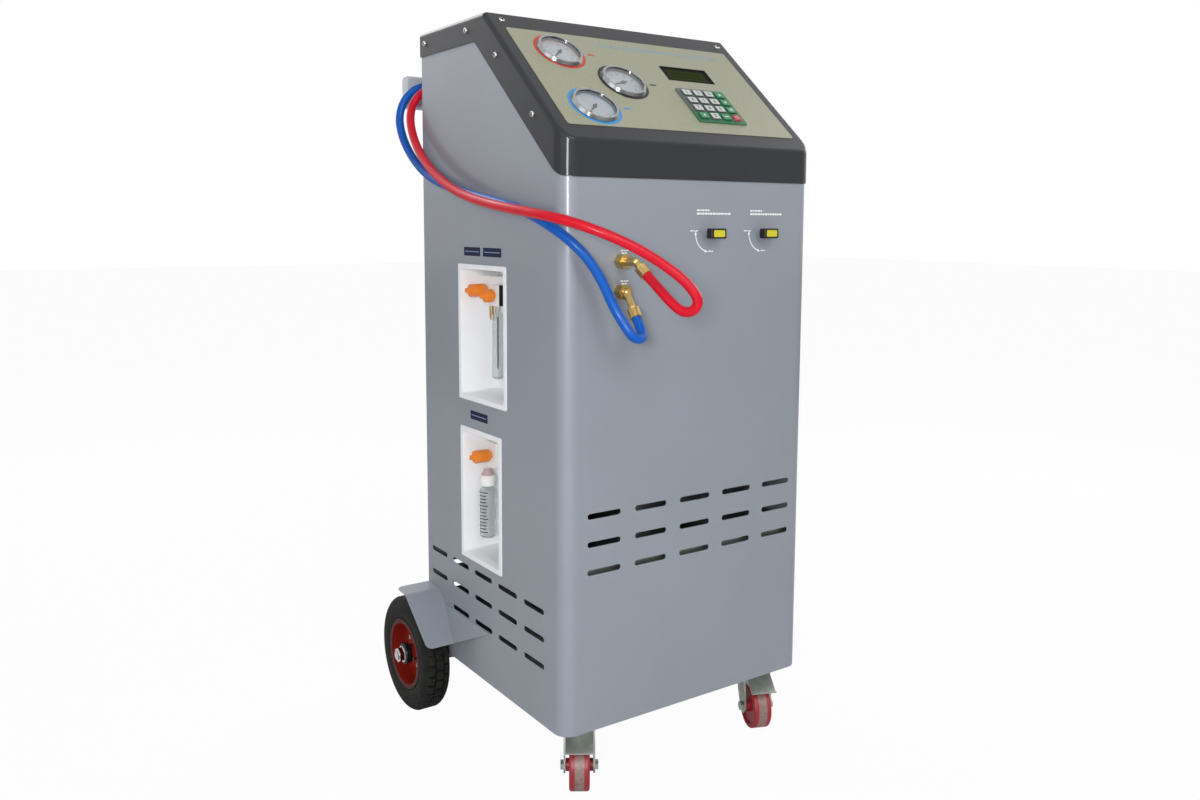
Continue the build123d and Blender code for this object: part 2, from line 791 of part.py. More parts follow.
def make_bottles():
    bottles = []
    tops = (second_head[1], lower_head[1] - cone_height)
    for (inset, along, foot, radius, neck), top in zip((slim_bottle, wide_bottle), tops):
        shoulder = top - neck_length - bottle_shoulder
        bevel = bottle_foot_bevel
        outer = Polyline((0, foot), (radius - bevel, foot), (radius, foot + bevel), (radius, shoulder),
                         (neck, shoulder + bottle_shoulder), (neck, top), (0, top), close=True)
        wall = bottle_wall
        inner = Polyline((0, foot + wall), (radius - bevel - wall / 2, foot + wall),
                         (radius - wall, foot + bevel + wall / 2), (radius - wall, shoulder),
                         (neck - wall, shoulder + bottle_shoulder), (neck - wall, top + 1), (0, top + 1), close=True)
        bottle = revolve(Plane.XZ * make_face(outer), Axis.Z) - revolve(Plane.XZ * make_face(inner), Axis.Z)
        bottles.append(Pos(inset - half_width, along, 0) * bottle)
    return bottles


def make_heads():
    back = recess_depth - recess_wall - half_width
    heads = []
    for along, foot, height, width, depth, _ in (upper_head, second_head, lower_head):
        head = block(back - depth, back, along - width / 2, along + width / 2, foot, foot + height)
        heads.append(fillet(head.edges().filter_by(Axis.X), 3))
    tube_top = upper_head[1]
    tube = cylinder(dip_tube_radius, tube_top - dip_tube_length, tube_top)
    heads[0] = heads[0] + Pos(back - upper_head[4] / 2, upper_head[0], 0) * tube
    cone_top = lower_head[1]
    cone_foot = cone_top - cone_height
    cone = Polyline((0, cone_foot), (cone_radius, cone_foot), (cone_radius, cone_foot + cone_rim),
                    (cone_tip_radius, cone_top), (0, cone_top), close=True)
    cone = revolve(Plane.XZ * make_face(cone), Axis.Z)
    cone += cylinder(cone_radius - 1, cone_foot - cap_height, cone_foot)
    cone -= cylinder(wide_bottle[4] + cap_play, cone_foot - cap_height - 1, cone_foot)
    heads[2] = heads[2] + Pos(wide_bottle[0] - half_width, wide_bottle[1], 0) * cone
    return heads


def make_quick_couplers():
    back = recess_depth - recess_wall - half_width
    couplers = []
    for along, foot, height, _, depth, length in (upper_head, second_head, lower_head):
        body = cylinder(quick_neck_radius, 0, quick_neck)
        body += cylinder(quick_radius, quick_neck, quick_neck + length)
        for index in range(1, int(length / quick_rib)):
            groove = Cylinder(quick_radius + 1, 2) - Cylinder(quick_radius - 1, 2)
            body -= Pos(0, 0, quick_neck + index * quick_rib) * groove
        body += cylinder(quick_tip_radius, quick_neck + length, quick_neck + length + quick_tip)
        place = Plane(origin=(back - depth, along, foot + height / 2), x_dir=(0, 1, 0), z_dir=(-1, 0, 0))
        couplers.append(Location(place) * body)
    return couplers


def make_tyre(side):
    half = tyre_width / 2
    bead = rim_radius - rim_lip
    shoulder = tyre_radius - 6
    with BuildSketch(Plane.XZ) as section:
        with BuildLine():
            Polyline((bead, -half + 4), (rim_radius + 2.2, -half + 4), (rim_radius + 4, -half + 1.5))
            ThreePointArc((rim_radius + 4, -half + 1.5), ((rim_radius + shoulder) / 2 + 2, -half), (shoulder, -half + 3))
            ThreePointArc((shoulder, -half + 3), (tyre_radius - 2, -half + 6.5), (tyre_radius, -half + 10))
            Line((tyre_radius, -half + 10), (tyre_radius, half - 10))
            ThreePointArc((tyre_radius, half - 10), (tyre_radius - 2, half - 6.5), (shoulder, half - 3))
            ThreePointArc((shoulder, half - 3), ((rim_radius + shoulder) / 2 + 2, half), (rim_radius + 4, half - 1.5))
            Polyline((rim_radius + 4, half - 1.5), (rim_radius + 2.2, half - 4), (bead, half - 4), (bead, -half + 4))
        make_face()
    tyre = revolve(section.sketch, Axis.Z)
    floor = tyre_radius - tread_depth
    for middle in (-tread_rib, tread_rib):
        low = middle - rib_groove / 2
        high = middle + rib_groove / 2
        tyre -= cylinder(tyre_radius + 1, low, high) - cylinder(floor, low, high)
    reach = tread_rib + rib_groove / 2
    notch = block(floor, tyre_radius + 5, -tread_groove / 2, tread_groove / 2, reach - 0.5, half + 1)
    inner = block(floor, tyre_radius + 5, -tread_groove / 2, tread_groove / 2, 0.5 - tread_rib, tread_rib - 0.5)
    notches = []
    for index in range(tread_blocks):
        notches.append(Rot(0, 0, index * 360 / tread_blocks) * notch)
        notches.append(Rot(0, 0, index * 360 / tread_blocks) * mirror(notch, Plane.XY))
        notches.append(Rot(0, 0, (index + 0.5) * 360 / tread_blocks) * inner)
    tyre -= notches
    return Pos(side * wheel_across, axle_along, tyre_radius) * Rot(0, 90, 0) * tyre


def make_rim(side):
    half = tyre_width / 2
    bead = rim_radius - rim_lip
    barrel = cylinder(bead, -half + 4, half - 4) - cylinder(bead - rim_wall, -half, half)
    for end in (-1, 1):
        low, high = sorted((end * (half - 4), end * (half - 1.2)))
        barrel += cylinder(rim_radius + 2, low, high) - cylinder(bead - rim_wall, low, high)
    dish = Polyline((hub_radius - 1, 4), (bead - 1, -2), (bead - 1, -6), (hub_radius - 1, 0), close=True)
    web = revolve(Plane.XZ * make_face(dish), Axis.Z)
    hole_radius = (hub_radius + bead) / 2
    for index in range(lightening_holes):
        web -= Rot(0, 0, index * 360 / lightening_holes) * Pos(hole_radius, 0, 0) * Cylinder(6, 40)
    rim = barrel + web + cylinder(hub_radius, -half, half)
    rim -= cylinder(axle_radius + axle_play, -half - 1, half + 1)
    turn = Rot(0, -90, 0) if side < 0 else Rot(0, 90, 0)
    return Pos(side * wheel_across, axle_along, tyre_radius) * turn * rim


def make_axle():
    end = wheel_across + tyre_width / 2 + end_play + washer_thickness
    rod = Rot(0, 90, 0) * Cylinder(axle_radius, 2 * (end + axle_nut_length + 3))
    for side in (-1, 1):
        washer = cylinder(washer_radius, end - washer_thickness, end)
        nut = hexagon(axle_nut_flats, end, end + axle_nut_length)
        rod += Rot(0, side * 90, 0) * (washer + nut)
        collar = wheel_across - tyre_width / 2 - end_play
        rod += Rot(0, side * 90, 0) * cylinder(washer_radius - 3, collar - 2, collar)
    return Pos(0, axle_along, tyre_radius) * rod


def make_fenders():
    bend = (rear + fender_bend[0], fender_bend[1])
    foot = (rear + fender_foot[0], fender_foot[1])
    path = [(rear, fender_top), bend, foot]
    with BuildSketch(Plane.YZ) as section:
        with BuildLine() as line:
            FilletPolyline(*path, radius=fender_bend_radius)
            offset(amount=sheet, side=Side.LEFT)
        make_face()
    pieces = []
    for side in (-1, 1):
        sheet_piece = extrude(section.sketch, fender_width, dir=(side, 0, 0))
        edges = sheet_piece.edges().filter_by(lambda edge: abs(edge.length - sheet) < 0.01)
        corners = edges.filter_by(lambda edge: abs(edge.center().X) > fender_width / 2)
        sheet_piece = Pos(side * half_width, 0, 0) * fillet(corners, fender_corner)
        run = (bend[0] - foot[0]) / (bend[1] - foot[1])
        gusset_rear = foot[0] + (gusset_top - foot[1]) * run
        against = side * half_width
        corners = [(against, gusset_rear, gusset_top), (against + side * gusset_out, foot[0], foot[1]),
                   (against, rear + gusset_front, gusset_top)]
        facet = make_face(Polyline(*corners, close=True))
        gusset = extrude(facet, sheet, dir=(side, 0, 0))
        pieces.append(sheet_piece + gusset)
    return pieces


def caster_axis(side):
    inset = caster_insets[0] if side < 0 else caster_insets[1]
    return side * (half_width - inset), front + caster_setback


def make_chassis_brackets():
    pieces = []
    for side in (-1, 1):
        x, y = caster_axis(side)
        plate = Box(caster_plate_width, caster_plate_length, caster_plate)
        plate = fillet(plate.edges().filter_by(Axis.Z), 8)
        plate = Pos(0, 0, underside - caster_plate / 2) * plate
        race_foot = underside - caster_plate - race_height
        plate += cylinder(race_radius, race_foot, underside - caster_plate)
        crown_foot = race_foot - fork_gap - fork_crown
        plate += cylinder(kingpin_radius, crown_foot - 4, race_foot)
        plate += cylinder(kingpin_radius + 4, crown_foot - 4, crown_foot - fork_gap)
        pieces.append(Pos(x, y, 0) * plate)
        inner = half_width - axle_bracket_inset
        start = rear - axle_bracket_ahead
        end = axle_along + axle_bracket_behind
        low = tyre_radius - axle_bracket_drop
        outline = [(start, underside), (end, underside), (end, low + axle_bracket_drop * 0.7),
                   (end - axle_bracket_drop * 0.6, low), (axle_along - axle_bracket_drop, low)]
        web = Plane.YZ * make_face(Polyline(*outline, close=True))
        bracket = extrude(web, axle_bracket_thickness / 2, both=True)
        half = axle_bracket_foot / 2
        bracket += block(-half, half, start, rear - 4, underside - axle_bracket_flange, underside)
        bracket = Pos(side * inner, 0, 0) * bracket
        bore = Rot(0, 90, 0) * Cylinder(axle_radius + 0.1, 2 * axle_bracket_foot)
        bracket -= Pos(side * inner, axle_along, tyre_radius) * bore
        pieces.append(bracket)
    return pieces


def make_fork():
    crown_top = underside - caster_plate - race_height - fork_gap
    crown_foot = crown_top - fork_crown
    inside = fork_inside / 2
    outside = inside + fork_sheet
    crown = block(-outside, outside, -fork_length / 2, fork_length / 2, crown_foot, crown_top)
    crown = fillet(crown.edges().filter_by(Axis.Z), 6)
    fork = crown - cylinder(kingpin_radius + kingpin_play, crown_foot - 1, crown_top + 1)
    outline = [(-fork_length / 2 + 2, crown_top), (fork_length / 2 - 8, crown_top),
               (fork_end_radius - caster_trail, caster_radius), (-fork_end_radius - caster_trail, caster_radius),
               (-fork_length / 2 - 4, crown_top - 30)]
    leg_face = Plane.YZ * make_face(Polyline(*outline, close=True))
    round_end = Plane.YZ * Pos(-caster_trail, caster_radius) * Circle(fork_end_radius)
    for start in (-outside, inside):
        leg = extrude(leg_face, fork_sheet, dir=(1, 0, 0)) + extrude(round_end, fork_sheet, dir=(1, 0, 0))
        fork += Pos(start, 0, 0) * leg
    axle = Pos(0, -caster_trail, caster_radius) * Rot(0, 90, 0) * Cylinder(axle_bolt_radius, 2 * outside)
    for side in (-1, 1):
        head = Rot(0, side * 90, 0) * hexagon(bolt_head_flats, outside, outside + bolt_head)
        axle += Pos(0, -caster_trail, caster_radius) * head
    pin = Pos(0, *pedal_pin) * Rot(0, 90, 0) * Cylinder(pedal_pin_radius, 2 * outside)
    return fork + axle + pin


def make_caster_wheel():
    half = caster_width / 2
    wheel = cylinder(caster_radius, -half, half)
    wheel = fillet(wheel.edges().filter_by(GeomType.CIRCLE), 4)
    for end in (-1, 1):
        low, high = sorted((end * (half - 3), end * (half + 1)))
        wheel -= cylinder(caster_radius - 8, low, high) - cylinder(11, low, high)
    hub_half = fork_inside / 2 - fork_gap
    wheel += cylinder(caster_hub_radius, -hub_half, hub_half)
    wheel -= cylinder(axle_bolt_radius + bolt_play, -hub_half - 1, hub_half + 1)
    return Pos(0, -caster_trail, caster_radius) * Rot(0, 90, 0) * wheel


def make_pedal():
    inner = fork_inside / 2 - pedal_side_play
    run = Vector(pedal_lip[0] - pedal_top[0], pedal_lip[1] - pedal_top[1])
    direction = run.normalized()
    normal = Vector(-direction.Y, direction.X)
    thick = normal * pedal_sheet

    def shifted(point, step):
        return (point[0] + step.X, point[1] + step.Y)

    tread = [pedal_top, pedal_lip, shifted(pedal_lip, Vector(-5, 3)), shifted(pedal_lip, Vector(-5, 5)),
             shifted(pedal_lip, Vector(-1, 3)), shifted(pedal_top, Vector(0, 0) - thick)]
    plate = extrude(Plane.YZ * make_face(Polyline(*tread, close=True)), inner, both=True)
    arm_outline = [shifted(pedal_top, thick * -0.5), shifted(pedal_top, direction * 26 - thick * 0.5),
                   (pedal_pin[0] - 4, pedal_pin[1] - 4.5), (pedal_pin[0] + 3, pedal_pin[1] - 4),
                   (pedal_pin[0] + 4, pedal_pin[1] + 4)]
    arm_face = Plane.YZ * make_face(Polyline(*arm_outline, close=True))
    pedal = plate
    for start in (-inner, inner - pedal_arm):
        pedal += Pos(start, 0, 0) * extrude(arm_face, pedal_arm, dir=(1, 0, 0))
    pedal -= Pos(0, *pedal_pin) * Rot(0, 90, 0) * Cylinder(pedal_pin_radius + bolt_play, 100)
    return pedal


def make_push_handle():
    front_face = rail_rear - rail_thickness
    rail = block(-rail_length / 2, rail_length / 2, front_face, rail_rear, rail_foot, rail_foot + rail_height)
    rail = fillet(rail.edges().filter_by(Axis.X), rail_edge)
    hollow = block(-rail_length / 2, rail_length / 2, front_face, rail_rear, rail_foot, rail_foot + rail_height)
    rail = fillet(rail.edges().group_by(Axis.X)[0] + rail.edges().group_by(Axis.X)[-1], 2)
    rail -= offset(hollow, -rail_wall)
    for side in (-1, 1):
        across = side * arm_across
        rail += between((across, panel_rear, arm_height), (across, front_face + 2, arm_height), arm_radius)
        rail += between((across, panel_rear, arm_height), (across, panel_rear + arm_foot_thickness, arm_height),
                        arm_foot_radius)
    return rail


def make_shelf():
    gap = sheet + seam
    half = half_width - gap
    ahead = front + shelf_front_gap
    behind = rear - 20
    top = shelf_height
    shelf = block(-half, half, ahead, behind, top - sheet, top)
    shelf += block(-half, half, ahead, ahead + sheet, top - shelf_flange, top)
    shelf += block(-half, sheet - half, ahead, behind, top - 20, top)
    shelf += block(half - sheet, half, ahead, behind, top - 20, top)
    plan = rounded_plan(half, front + gap, rear - gap, corner_radius - gap)
    shelf &= extrude(Pos(0, 0, top - shelf_flange - 5) * plan, shelf_flange + 10)
    behind_edge, ahead_edge = recess_frames[1][0], recess_frames[1][1]
    shelf -= block(-half - 1, shelf_notch - half_width, ahead_edge - 6, behind_edge + 6, top - 30, top + 10)
    side = platform_size / 2
    cell_half = load_cell_width / 2
    platform_foot = top + load_cell_height
    scale = block(-side, side, -side, side, platform_foot, platform_foot + platform_thickness)
    scale = fillet(scale.edges().filter_by(Axis.Z), 12)
    scale += block(-cell_half * 2, cell_half * 2, -cell_half, cell_half, top, platform_foot)
    return [shelf, Pos(tank_across, tank_along, 0) * scale]


def make_tank():
    foot = shelf_height + load_cell_height + platform_thickness
    ring = cylinder(tank_radius * 0.75, foot, foot + 22) - cylinder(tank_radius * 0.75 - 3, foot - 1, foot + 23)
    low = foot + 12
    top = foot + tank_height
    with BuildSketch(Plane.XZ) as section:
        with BuildLine():
            Line((0, low), (0, top))
            Spline((0, top), (tank_radius, top - tank_dome), tangents=((1, 0), (0, -1)))
            Line((tank_radius, top - tank_dome), (tank_radius, low + tank_dome))
            Spline((tank_radius, low + tank_dome), (0, low), tangents=((0, -1), (-1, 0)))
        make_face()
    tank = revolve(section.sketch, Axis.Z)
    tank -= cylinder(tank_radius - tank_wall, low + tank_dome, top - tank_dome)
    tank += ring
    collar = cylinder(collar_radius, top - 8, top + collar_height) - cylinder(collar_radius - 3, top - 9, top + 99)
    for angle in (0, 90):
        collar -= Rot(0, 0, angle) * Pos(0, 0, top + collar_height / 2) * Box(2 * collar_radius + 9, 50, 18)
    valve = cylinder(14, top - 3, top + 26) + cylinder(18, top + 26, top + 36)
    return Pos(tank_across, tank_along, 0) * (tank + collar + valve)


def make_pump():
    foot = tray_top
    centre = foot + motor_radius + 14
    along = Pos(pump_across, pump_along, centre) * Rot(90, 0, 0)
    body = along * cylinder(motor_radius, -motor_length, 0)
    for index in range(9):
        body += along * cylinder(motor_radius + 4, -16 - index * 17, -12 - index * 17)
    body += along * cylinder(pump_radius, 0, pump_length)
    body += along * cylinder(pump_radius + 8, pump_length - 14, pump_length)
    body += block(pump_across - 45, pump_across + 45, pump_along - pump_length + 10, pump_along - 20, foot, centre - 20)
    body += block(pump_across - 45, pump_across + 45, pump_along + 30, pump_along + motor_length - 30, foot, centre - 40)
    port = Pos(pump_across, pump_along - pump_length / 2, 0) * cylinder(12, centre, centre + pump_radius + 24)
    return body + port


def make_compressor():
    foot = tray_top
    body_foot = foot + 10
    low = cylinder(compressor_radius, body_foot, body_foot + compressor_height)
    low = fillet(low.edges().filter_by(GeomType.CIRCLE), 34)
    low -= cylinder(compressor_radius - compressor_wall, body_foot + 40, body_foot + compressor_height - 40)
    seam_ring = cylinder(compressor_radius + 4, body_foot + compressor_height * 0.55, body_foot + compressor_height * 0.55 + 5)
    seam_ring -= Pos(0, 0, body_foot + compressor_height / 2) * Cylinder(compressor_radius - 1, compressor_height)
    body = low + seam_ring
    for index in range(3):
        foot_arm = block(20, compressor_radius + 18, -16, 16, foot + 6, foot + 24)
        body += Rot(0, 0, 90 + index * 120) * (foot_arm + Pos(compressor_radius + 4, 0, 0) * cylinder(10, foot, foot + 8))
    stub = Pos(40, 0, 0) * cylinder(6, body_foot + compressor_height - 20, body_foot + compressor_height + 40)
    return Pos(compressor_across, compressor_along, 0) * (body + stub)


def make_condenser():
    size = condenser_size
    low = condenser_foot - 10
    left = condenser_right - condenser_thickness
    start = condenser_along - size / 2
    frame = block(left, condenser_right, start, start + size, low, low + size)
    frame -= block(left - 1, condenser_right + 1, start + 6, start + size - 6, low + 6, low + size - 6)
    pitch = (size - 12) / (condenser_fins + 1)
    for index in range(condenser_fins):
        fin = start + 6 + (index + 1) * pitch
        frame += block(left + 4, condenser_right - 4, fin - 0.6, fin + 0.6, low + 5, low + size - 5)
    for index in range(6):
        height = low + 6 + (index + 0.5) * (size - 12) / 6
        frame += between((left + condenser_thickness / 2, start + 3, height),
                         (left + condenser_thickness / 2, start + size - 3, height), 5)
    middle = low + size / 2
    shroud = block(left - shroud_depth, left, start, start + size, low, low + size)
    shroud -= block(left - shroud_depth + 3, left + 1, start + 3, start + size - 3, low + 3, low + size - 3)
    hub = Pos(0, condenser_along, middle) * Rot(0, 90, 0)
    shroud -= hub * cylinder(fan_radius + 5, left - shroud_depth - 1, left - shroud_depth + 4)
    for side in (-1, 1):
        arm_low, arm_high = sorted((side * 20, side * (size / 2 - 1)))
        shroud += block(left - 8, left - 4, condenser_along + arm_low, condenser_along + arm_high, middle - 8, middle + 8)
    shroud += hub * cylinder(24, left - 8, left - 1)
    shroud += hub * cylinder(fan_bore_radius, left - shroud_depth + 2, left - 8)
    return frame + shroud


def make_fan():
    left = condenser_right - condenser_thickness
    middle = condenser_foot - 10 + condenser_size / 2
    foot = left - 8.3 - fan_hub_length
    hub = cylinder(fan_hub_radius, foot, foot + fan_hub_length)
    hub = fillet(hub.edges().sort_by(Axis.Z)[0], 3)
    for index in range(fan_blades):
        radial = Plane(origin=(fan_hub_radius - 3, 0, foot + fan_hub_length / 2), x_dir=(0, 1, 0), z_dir=(1, 0, 0))
        root = radial * Rot(0, 0, 40) * Rectangle(30, 1.8)
        tip_plane = Plane(origin=(fan_radius, 0, foot + fan_hub_length / 2), x_dir=(0, 1, 0), z_dir=(1, 0, 0))
        tip = tip_plane * Rot(0, 0, 22) * Rectangle(46, 1.8)
        hub += Rot(0, 0, index * 360 / fan_blades) * loft([root, tip])
    hub -= cylinder(fan_bore_radius + fan_play, foot - 1, foot + fan_hub_length + 1)
    return Pos(0, condenser_along, middle) * Rot(0, 90, 0) * hub


def build_all():
    parts["base_tray"] = make_base_tray()
    parts["cabinet_wrap"] = make_cabinet_wrap()
    parts["rear_panel"] = make_rear_panel()
    parts["hood"] = make_hood()
    parts["console_overlay"] = make_overlay()
    make_gauges()
    parts["display_module"] = make_display()
    make_keypad()
    parts["panel_screws"] = make_screws()
    parts["valve_manifold"] = make_manifold()
    parts["valve_handle_left"] = make_valve_handle(valve_places[0])
    parts["valve_handle_right"] = make_valve_handle(valve_places[1])
    red_route = routed(red_front_run, red_rear_run)
    blue_route = routed(blue_front_run, blue_rear_run)
    parts["red_hose"] = make_hose("red_hose", red_route)
    parts["blue_hose"] = make_hose("blue_hose", blue_route)
    parts["service_couplers"] = [
        make_service_coupler(red_route, high_socket_radius),
        make_service_coupler(blue_route, low_socket_radius),
    ]
    parts["bottle_recesses"] = make_recesses()
    parts["oil_bottles"] = make_bottles()
    parts["bottle_heads"] = make_heads()
    parts["quick_couplers"] = make_quick_couplers()
    for side, name in ((-1, "left"), (1, "right")):
        parts["tyre_" + name] = make_tyre(side)
        parts["rim_" + name] = make_rim(side)
    parts["rear_axle"] = make_axle()
    parts["wheel_fenders"] = make_fenders()
    parts["chassis_brackets"] = make_chassis_brackets()
    for side, name, heading in ((-1, "left", caster_headings[0]), (1, "right", caster_headings[1])):
        x, y = caster_axis(side)
        place = Pos(x, y, 0) * Rot(0, 0, heading)
        parts["caster_fork_" + name] = place * make_fork()
        parts["caster_wheel_" + name] = place * make_caster_wheel()
        parts["brake_pedal_" + name] = place * make_pedal()
    parts["push_handle"] = make_push_handle()
    parts["equipment_shelf"] = make_shelf()
    parts["refrigerant_tank"] = make_tank()
    parts["vacuum_pump"] = make_pump()
    parts["compressor"] = make_compressor()
    parts["condenser"] = make_condenser()
    parts["fan_rotor"] = make_fan()


def gathered(piece):
    """One shape for export from a solid or a list of solids."""
    pieces = piece if isinstance(piece, list) else [piece]
    solids = [solid for item in pieces for solid in item.solids()]
    return solids[0] if len(solids) == 1 else Compound(children=solids)


cord_nodes = ("red_hose", "blue_hose", "service_couplers")
build_all()
body = Compound(children=[gathered(piece) for name, piece in parts.items() if name not in cord_nodes])
box = body.bounding_box()
shift = -(box.min.Y + box.max.Y) / 2
print("size", round(box.size.X, 2), round(box.size.Y, 2), round(box.size.Z, 2), "lowest", round(box.min.Z, 3))
print("middle across", round((box.min.X + box.max.X) / 2, 4), "shift along", round(shift, 4), "nodes", len(parts))
os.makedirs("parts", exist_ok=True)
for name, piece in parts.items():
    shape = gathered(piece).moved(Location((0, shift, 0)))
    shape.label = name
    export_step(shape, f"parts/{name}.step")
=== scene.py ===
# %% [markdown]
# An air conditioning recharge station: a grey steel cabinet on wheels with a dark hood, a sloping
# console, two valve handles and two service hoses. The construction model already holds every
# rigid part at its real size, so this lesson gives it its looks: paint, print, rubber, brass and
# the hoses. The first cell loads that model. Its box is kept, because the dressed object has to
# stay as large as it is.

import json
from math import atan2, cos, pi, radians, sin

import bpy
from mathutils import Matrix, Vector


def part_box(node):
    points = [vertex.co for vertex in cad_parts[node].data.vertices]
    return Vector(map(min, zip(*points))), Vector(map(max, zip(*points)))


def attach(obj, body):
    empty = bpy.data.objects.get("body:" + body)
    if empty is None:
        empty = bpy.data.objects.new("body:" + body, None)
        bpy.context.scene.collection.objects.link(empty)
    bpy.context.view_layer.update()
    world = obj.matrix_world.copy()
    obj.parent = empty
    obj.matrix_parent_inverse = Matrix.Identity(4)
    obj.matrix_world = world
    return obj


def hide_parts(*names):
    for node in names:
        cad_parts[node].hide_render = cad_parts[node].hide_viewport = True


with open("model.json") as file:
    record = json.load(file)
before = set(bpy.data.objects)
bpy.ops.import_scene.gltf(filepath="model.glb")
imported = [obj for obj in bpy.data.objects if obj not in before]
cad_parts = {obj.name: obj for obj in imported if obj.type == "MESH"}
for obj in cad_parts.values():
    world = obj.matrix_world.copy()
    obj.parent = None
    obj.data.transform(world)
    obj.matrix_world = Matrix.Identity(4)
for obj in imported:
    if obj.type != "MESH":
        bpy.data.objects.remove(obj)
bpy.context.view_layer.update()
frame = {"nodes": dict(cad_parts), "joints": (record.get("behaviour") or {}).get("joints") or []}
scene = bpy.context.scene

# %% [markdown]
# Everything is placed from a few surfaces of the cabinet. The joints give the exact middles of
# the gauges and valves, and the boxes of the sheet metal give the front, the left side and the
# console's slope, so nothing here is measured twice.

# %% Main surfaces, in metres
wrap_low, wrap_high = [Vector(corner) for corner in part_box("cabinet_wrap")]
hood_low, hood_high = [Vector(corner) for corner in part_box("hood")]
cabinet_middle = (wrap_low.y + wrap_high.y) / 2
console_rise = 0.212
crest_along = 0.0013
crest = cabinet_middle + crest_along
slope = atan2(console_rise, crest - hood_low.y)
uphill = Vector((0, cos(slope), sin(slope)))
outward = Vector((0, -sin(slope), cos(slope)))
joints = {joint["name"]: joint for joint in frame["joints"]}
film = 0.00015


# %% Helpers for places
def standing(origin, across, up):
    """Matrix of a flat workplace: local X runs across, local Y up and local Z out of it."""
    x = Vector(across).normalized()
    y = Vector(up).normalized()
    z = x.cross(y)
    turn = Matrix((x, y, z)).transposed().to_4x4()
    return Matrix.Translation(Vector(origin)) @ turn


def on_console(point, lift=0.0):
    """Workplace on the console at a point of it, lifted outward."""
    return standing(Vector(point) + outward * lift, (1, 0, 0), uphill)


def on_front(x, z, lift=0.0):
    """Workplace on the front sheet."""
    return standing((x, wrap_low.y - lift, z), (1, 0, 0), (0, 0, 1))


def on_left(y, z, lift=0.0):
    """Workplace on the left side sheet, seen from outside."""
    return standing((wrap_low.x - lift, cabinet_middle + y, z), (0, -1, 0), (0, 0, 1))


def corner_points(node):
    """Corners of a construction part's mesh."""
    return [Vector(vertex.co) for vertex in frame["nodes"][node].data.vertices]


def peaks(node, direction, depth=0.0001, spread=0.012):
    """Middles of the patches of a node that reach furthest along a direction."""
    points = corner_points(node)
    top = max(point.dot(direction) for point in points)
    groups = []
    for point in points:
        if point.dot(direction) < top - depth:
            continue
        for group in groups:
            if (group[0] - point).length < spread:
                group.append(point)
                break
        else:
            groups.append([point])
    return [sum(group, Vector()) / len(group) for group in groups]


def peak(node, direction, depth=0.0001):
    """Middle of the one patch of a node that reaches furthest along a direction."""
    return peaks(node, direction, depth, 1.0)[0]


# %% [markdown]
# The camera repeats the photograph: a standing person's height, turned 34 degrees to the left
# side and a little downward. Its place was worked out from the slots and edges in the picture.

# %% Camera
camera_yaw = 0.5980
camera_pitch = 0.1090
camera_roll = -0.0040
camera_data = bpy.data.cameras.new("camera")
camera_data.sensor_width = 36.0
camera_data.lens = 31.09
camera_data.shift_x = 0.0040
camera_data.shift_y = -0.0537
camera_data.clip_end = 60.0
camera = bpy.data.objects.new("camera", camera_data)
scene.collection.objects.link(camera)
ahead = Vector((sin(camera_yaw) * cos(camera_pitch), cos(camera_yaw) * cos(camera_pitch), -sin(camera_pitch)))
level = Vector((cos(camera_yaw), -sin(camera_yaw), 0))
right = (level + level.cross(ahead) * -camera_roll).normalized()
turn = Matrix((right, right.cross(ahead), -ahead)).transposed().to_4x4()
camera.matrix_world = Matrix.Translation((-1.0580, cabinet_middle - 1.5041, 0.9101)) @ turn
scene.camera = camera
scene.view_settings.view_transform = "Standard"
print("camera", [round(value, 3) for value in camera.location])


# %% [markdown]
# Materials are small networks. One function turns the colours, written as on a screen, into the
# linear values that light works with, one opens a material, and one adds a node with its
# settings and links. Patterns are given in millimetres and turned into the noise scale.

# %% Helpers for materials
def shade(code, alpha=1.0):
    """Linear colour of an sRGB hex code."""
    values = [int(code[i:i + 2], 16) / 255 for i in (1, 3, 5)]
    linear = [value / 12.92 if value <= 0.04045 else ((value + 0.055) / 1.055) ** 2.4 for value in values]
    return (*linear, alpha)


def per_mm(size):
    """Noise scale of a pattern whose grains are this many millimetres apart."""
    return 1000 / size


def add(tree, kind, inputs=None, **settings):
    """Adds a node, with values or links for its inputs."""
    node = tree.nodes.new(kind)
    for name, value in settings.items():
        setattr(node, name, value)
    for name, value in (inputs or {}).items():
        if isinstance(value, bpy.types.NodeSocket):
            tree.links.new(value, node.inputs[name])
        else:
            node.inputs[name].default_value = value
    return node


def open_material(name):
    """New material with the object's own coordinates, ready for its shader."""
    material = bpy.data.materials.new(name)
    material.use_nodes = True
    tree = material.node_tree
    tree.nodes.clear()
    place = add(tree, "ShaderNodeTexCoord").outputs["Object"]
    return material, tree, place


def close_material(tree, shader):
    """Links the shader to the material's output."""
    add(tree, "ShaderNodeOutputMaterial", {"Surface": shader.outputs[0]})


# %% [markdown]
# The cabinet is sheet steel with a polyester powder coat. Powder melts into a skin with a fine
# orange peel, which breaks up reflections, and its colour drifts slightly over a large panel.
# Both come from noise: a millimetre-sized one for the bump and a hand-sized one for the colour.
# Real orange peel is finer than that, and it is drawn this coarse so that it shows. How strongly a
# finish mirrors the room is a value of its own, because the white room would make dark paint pale.

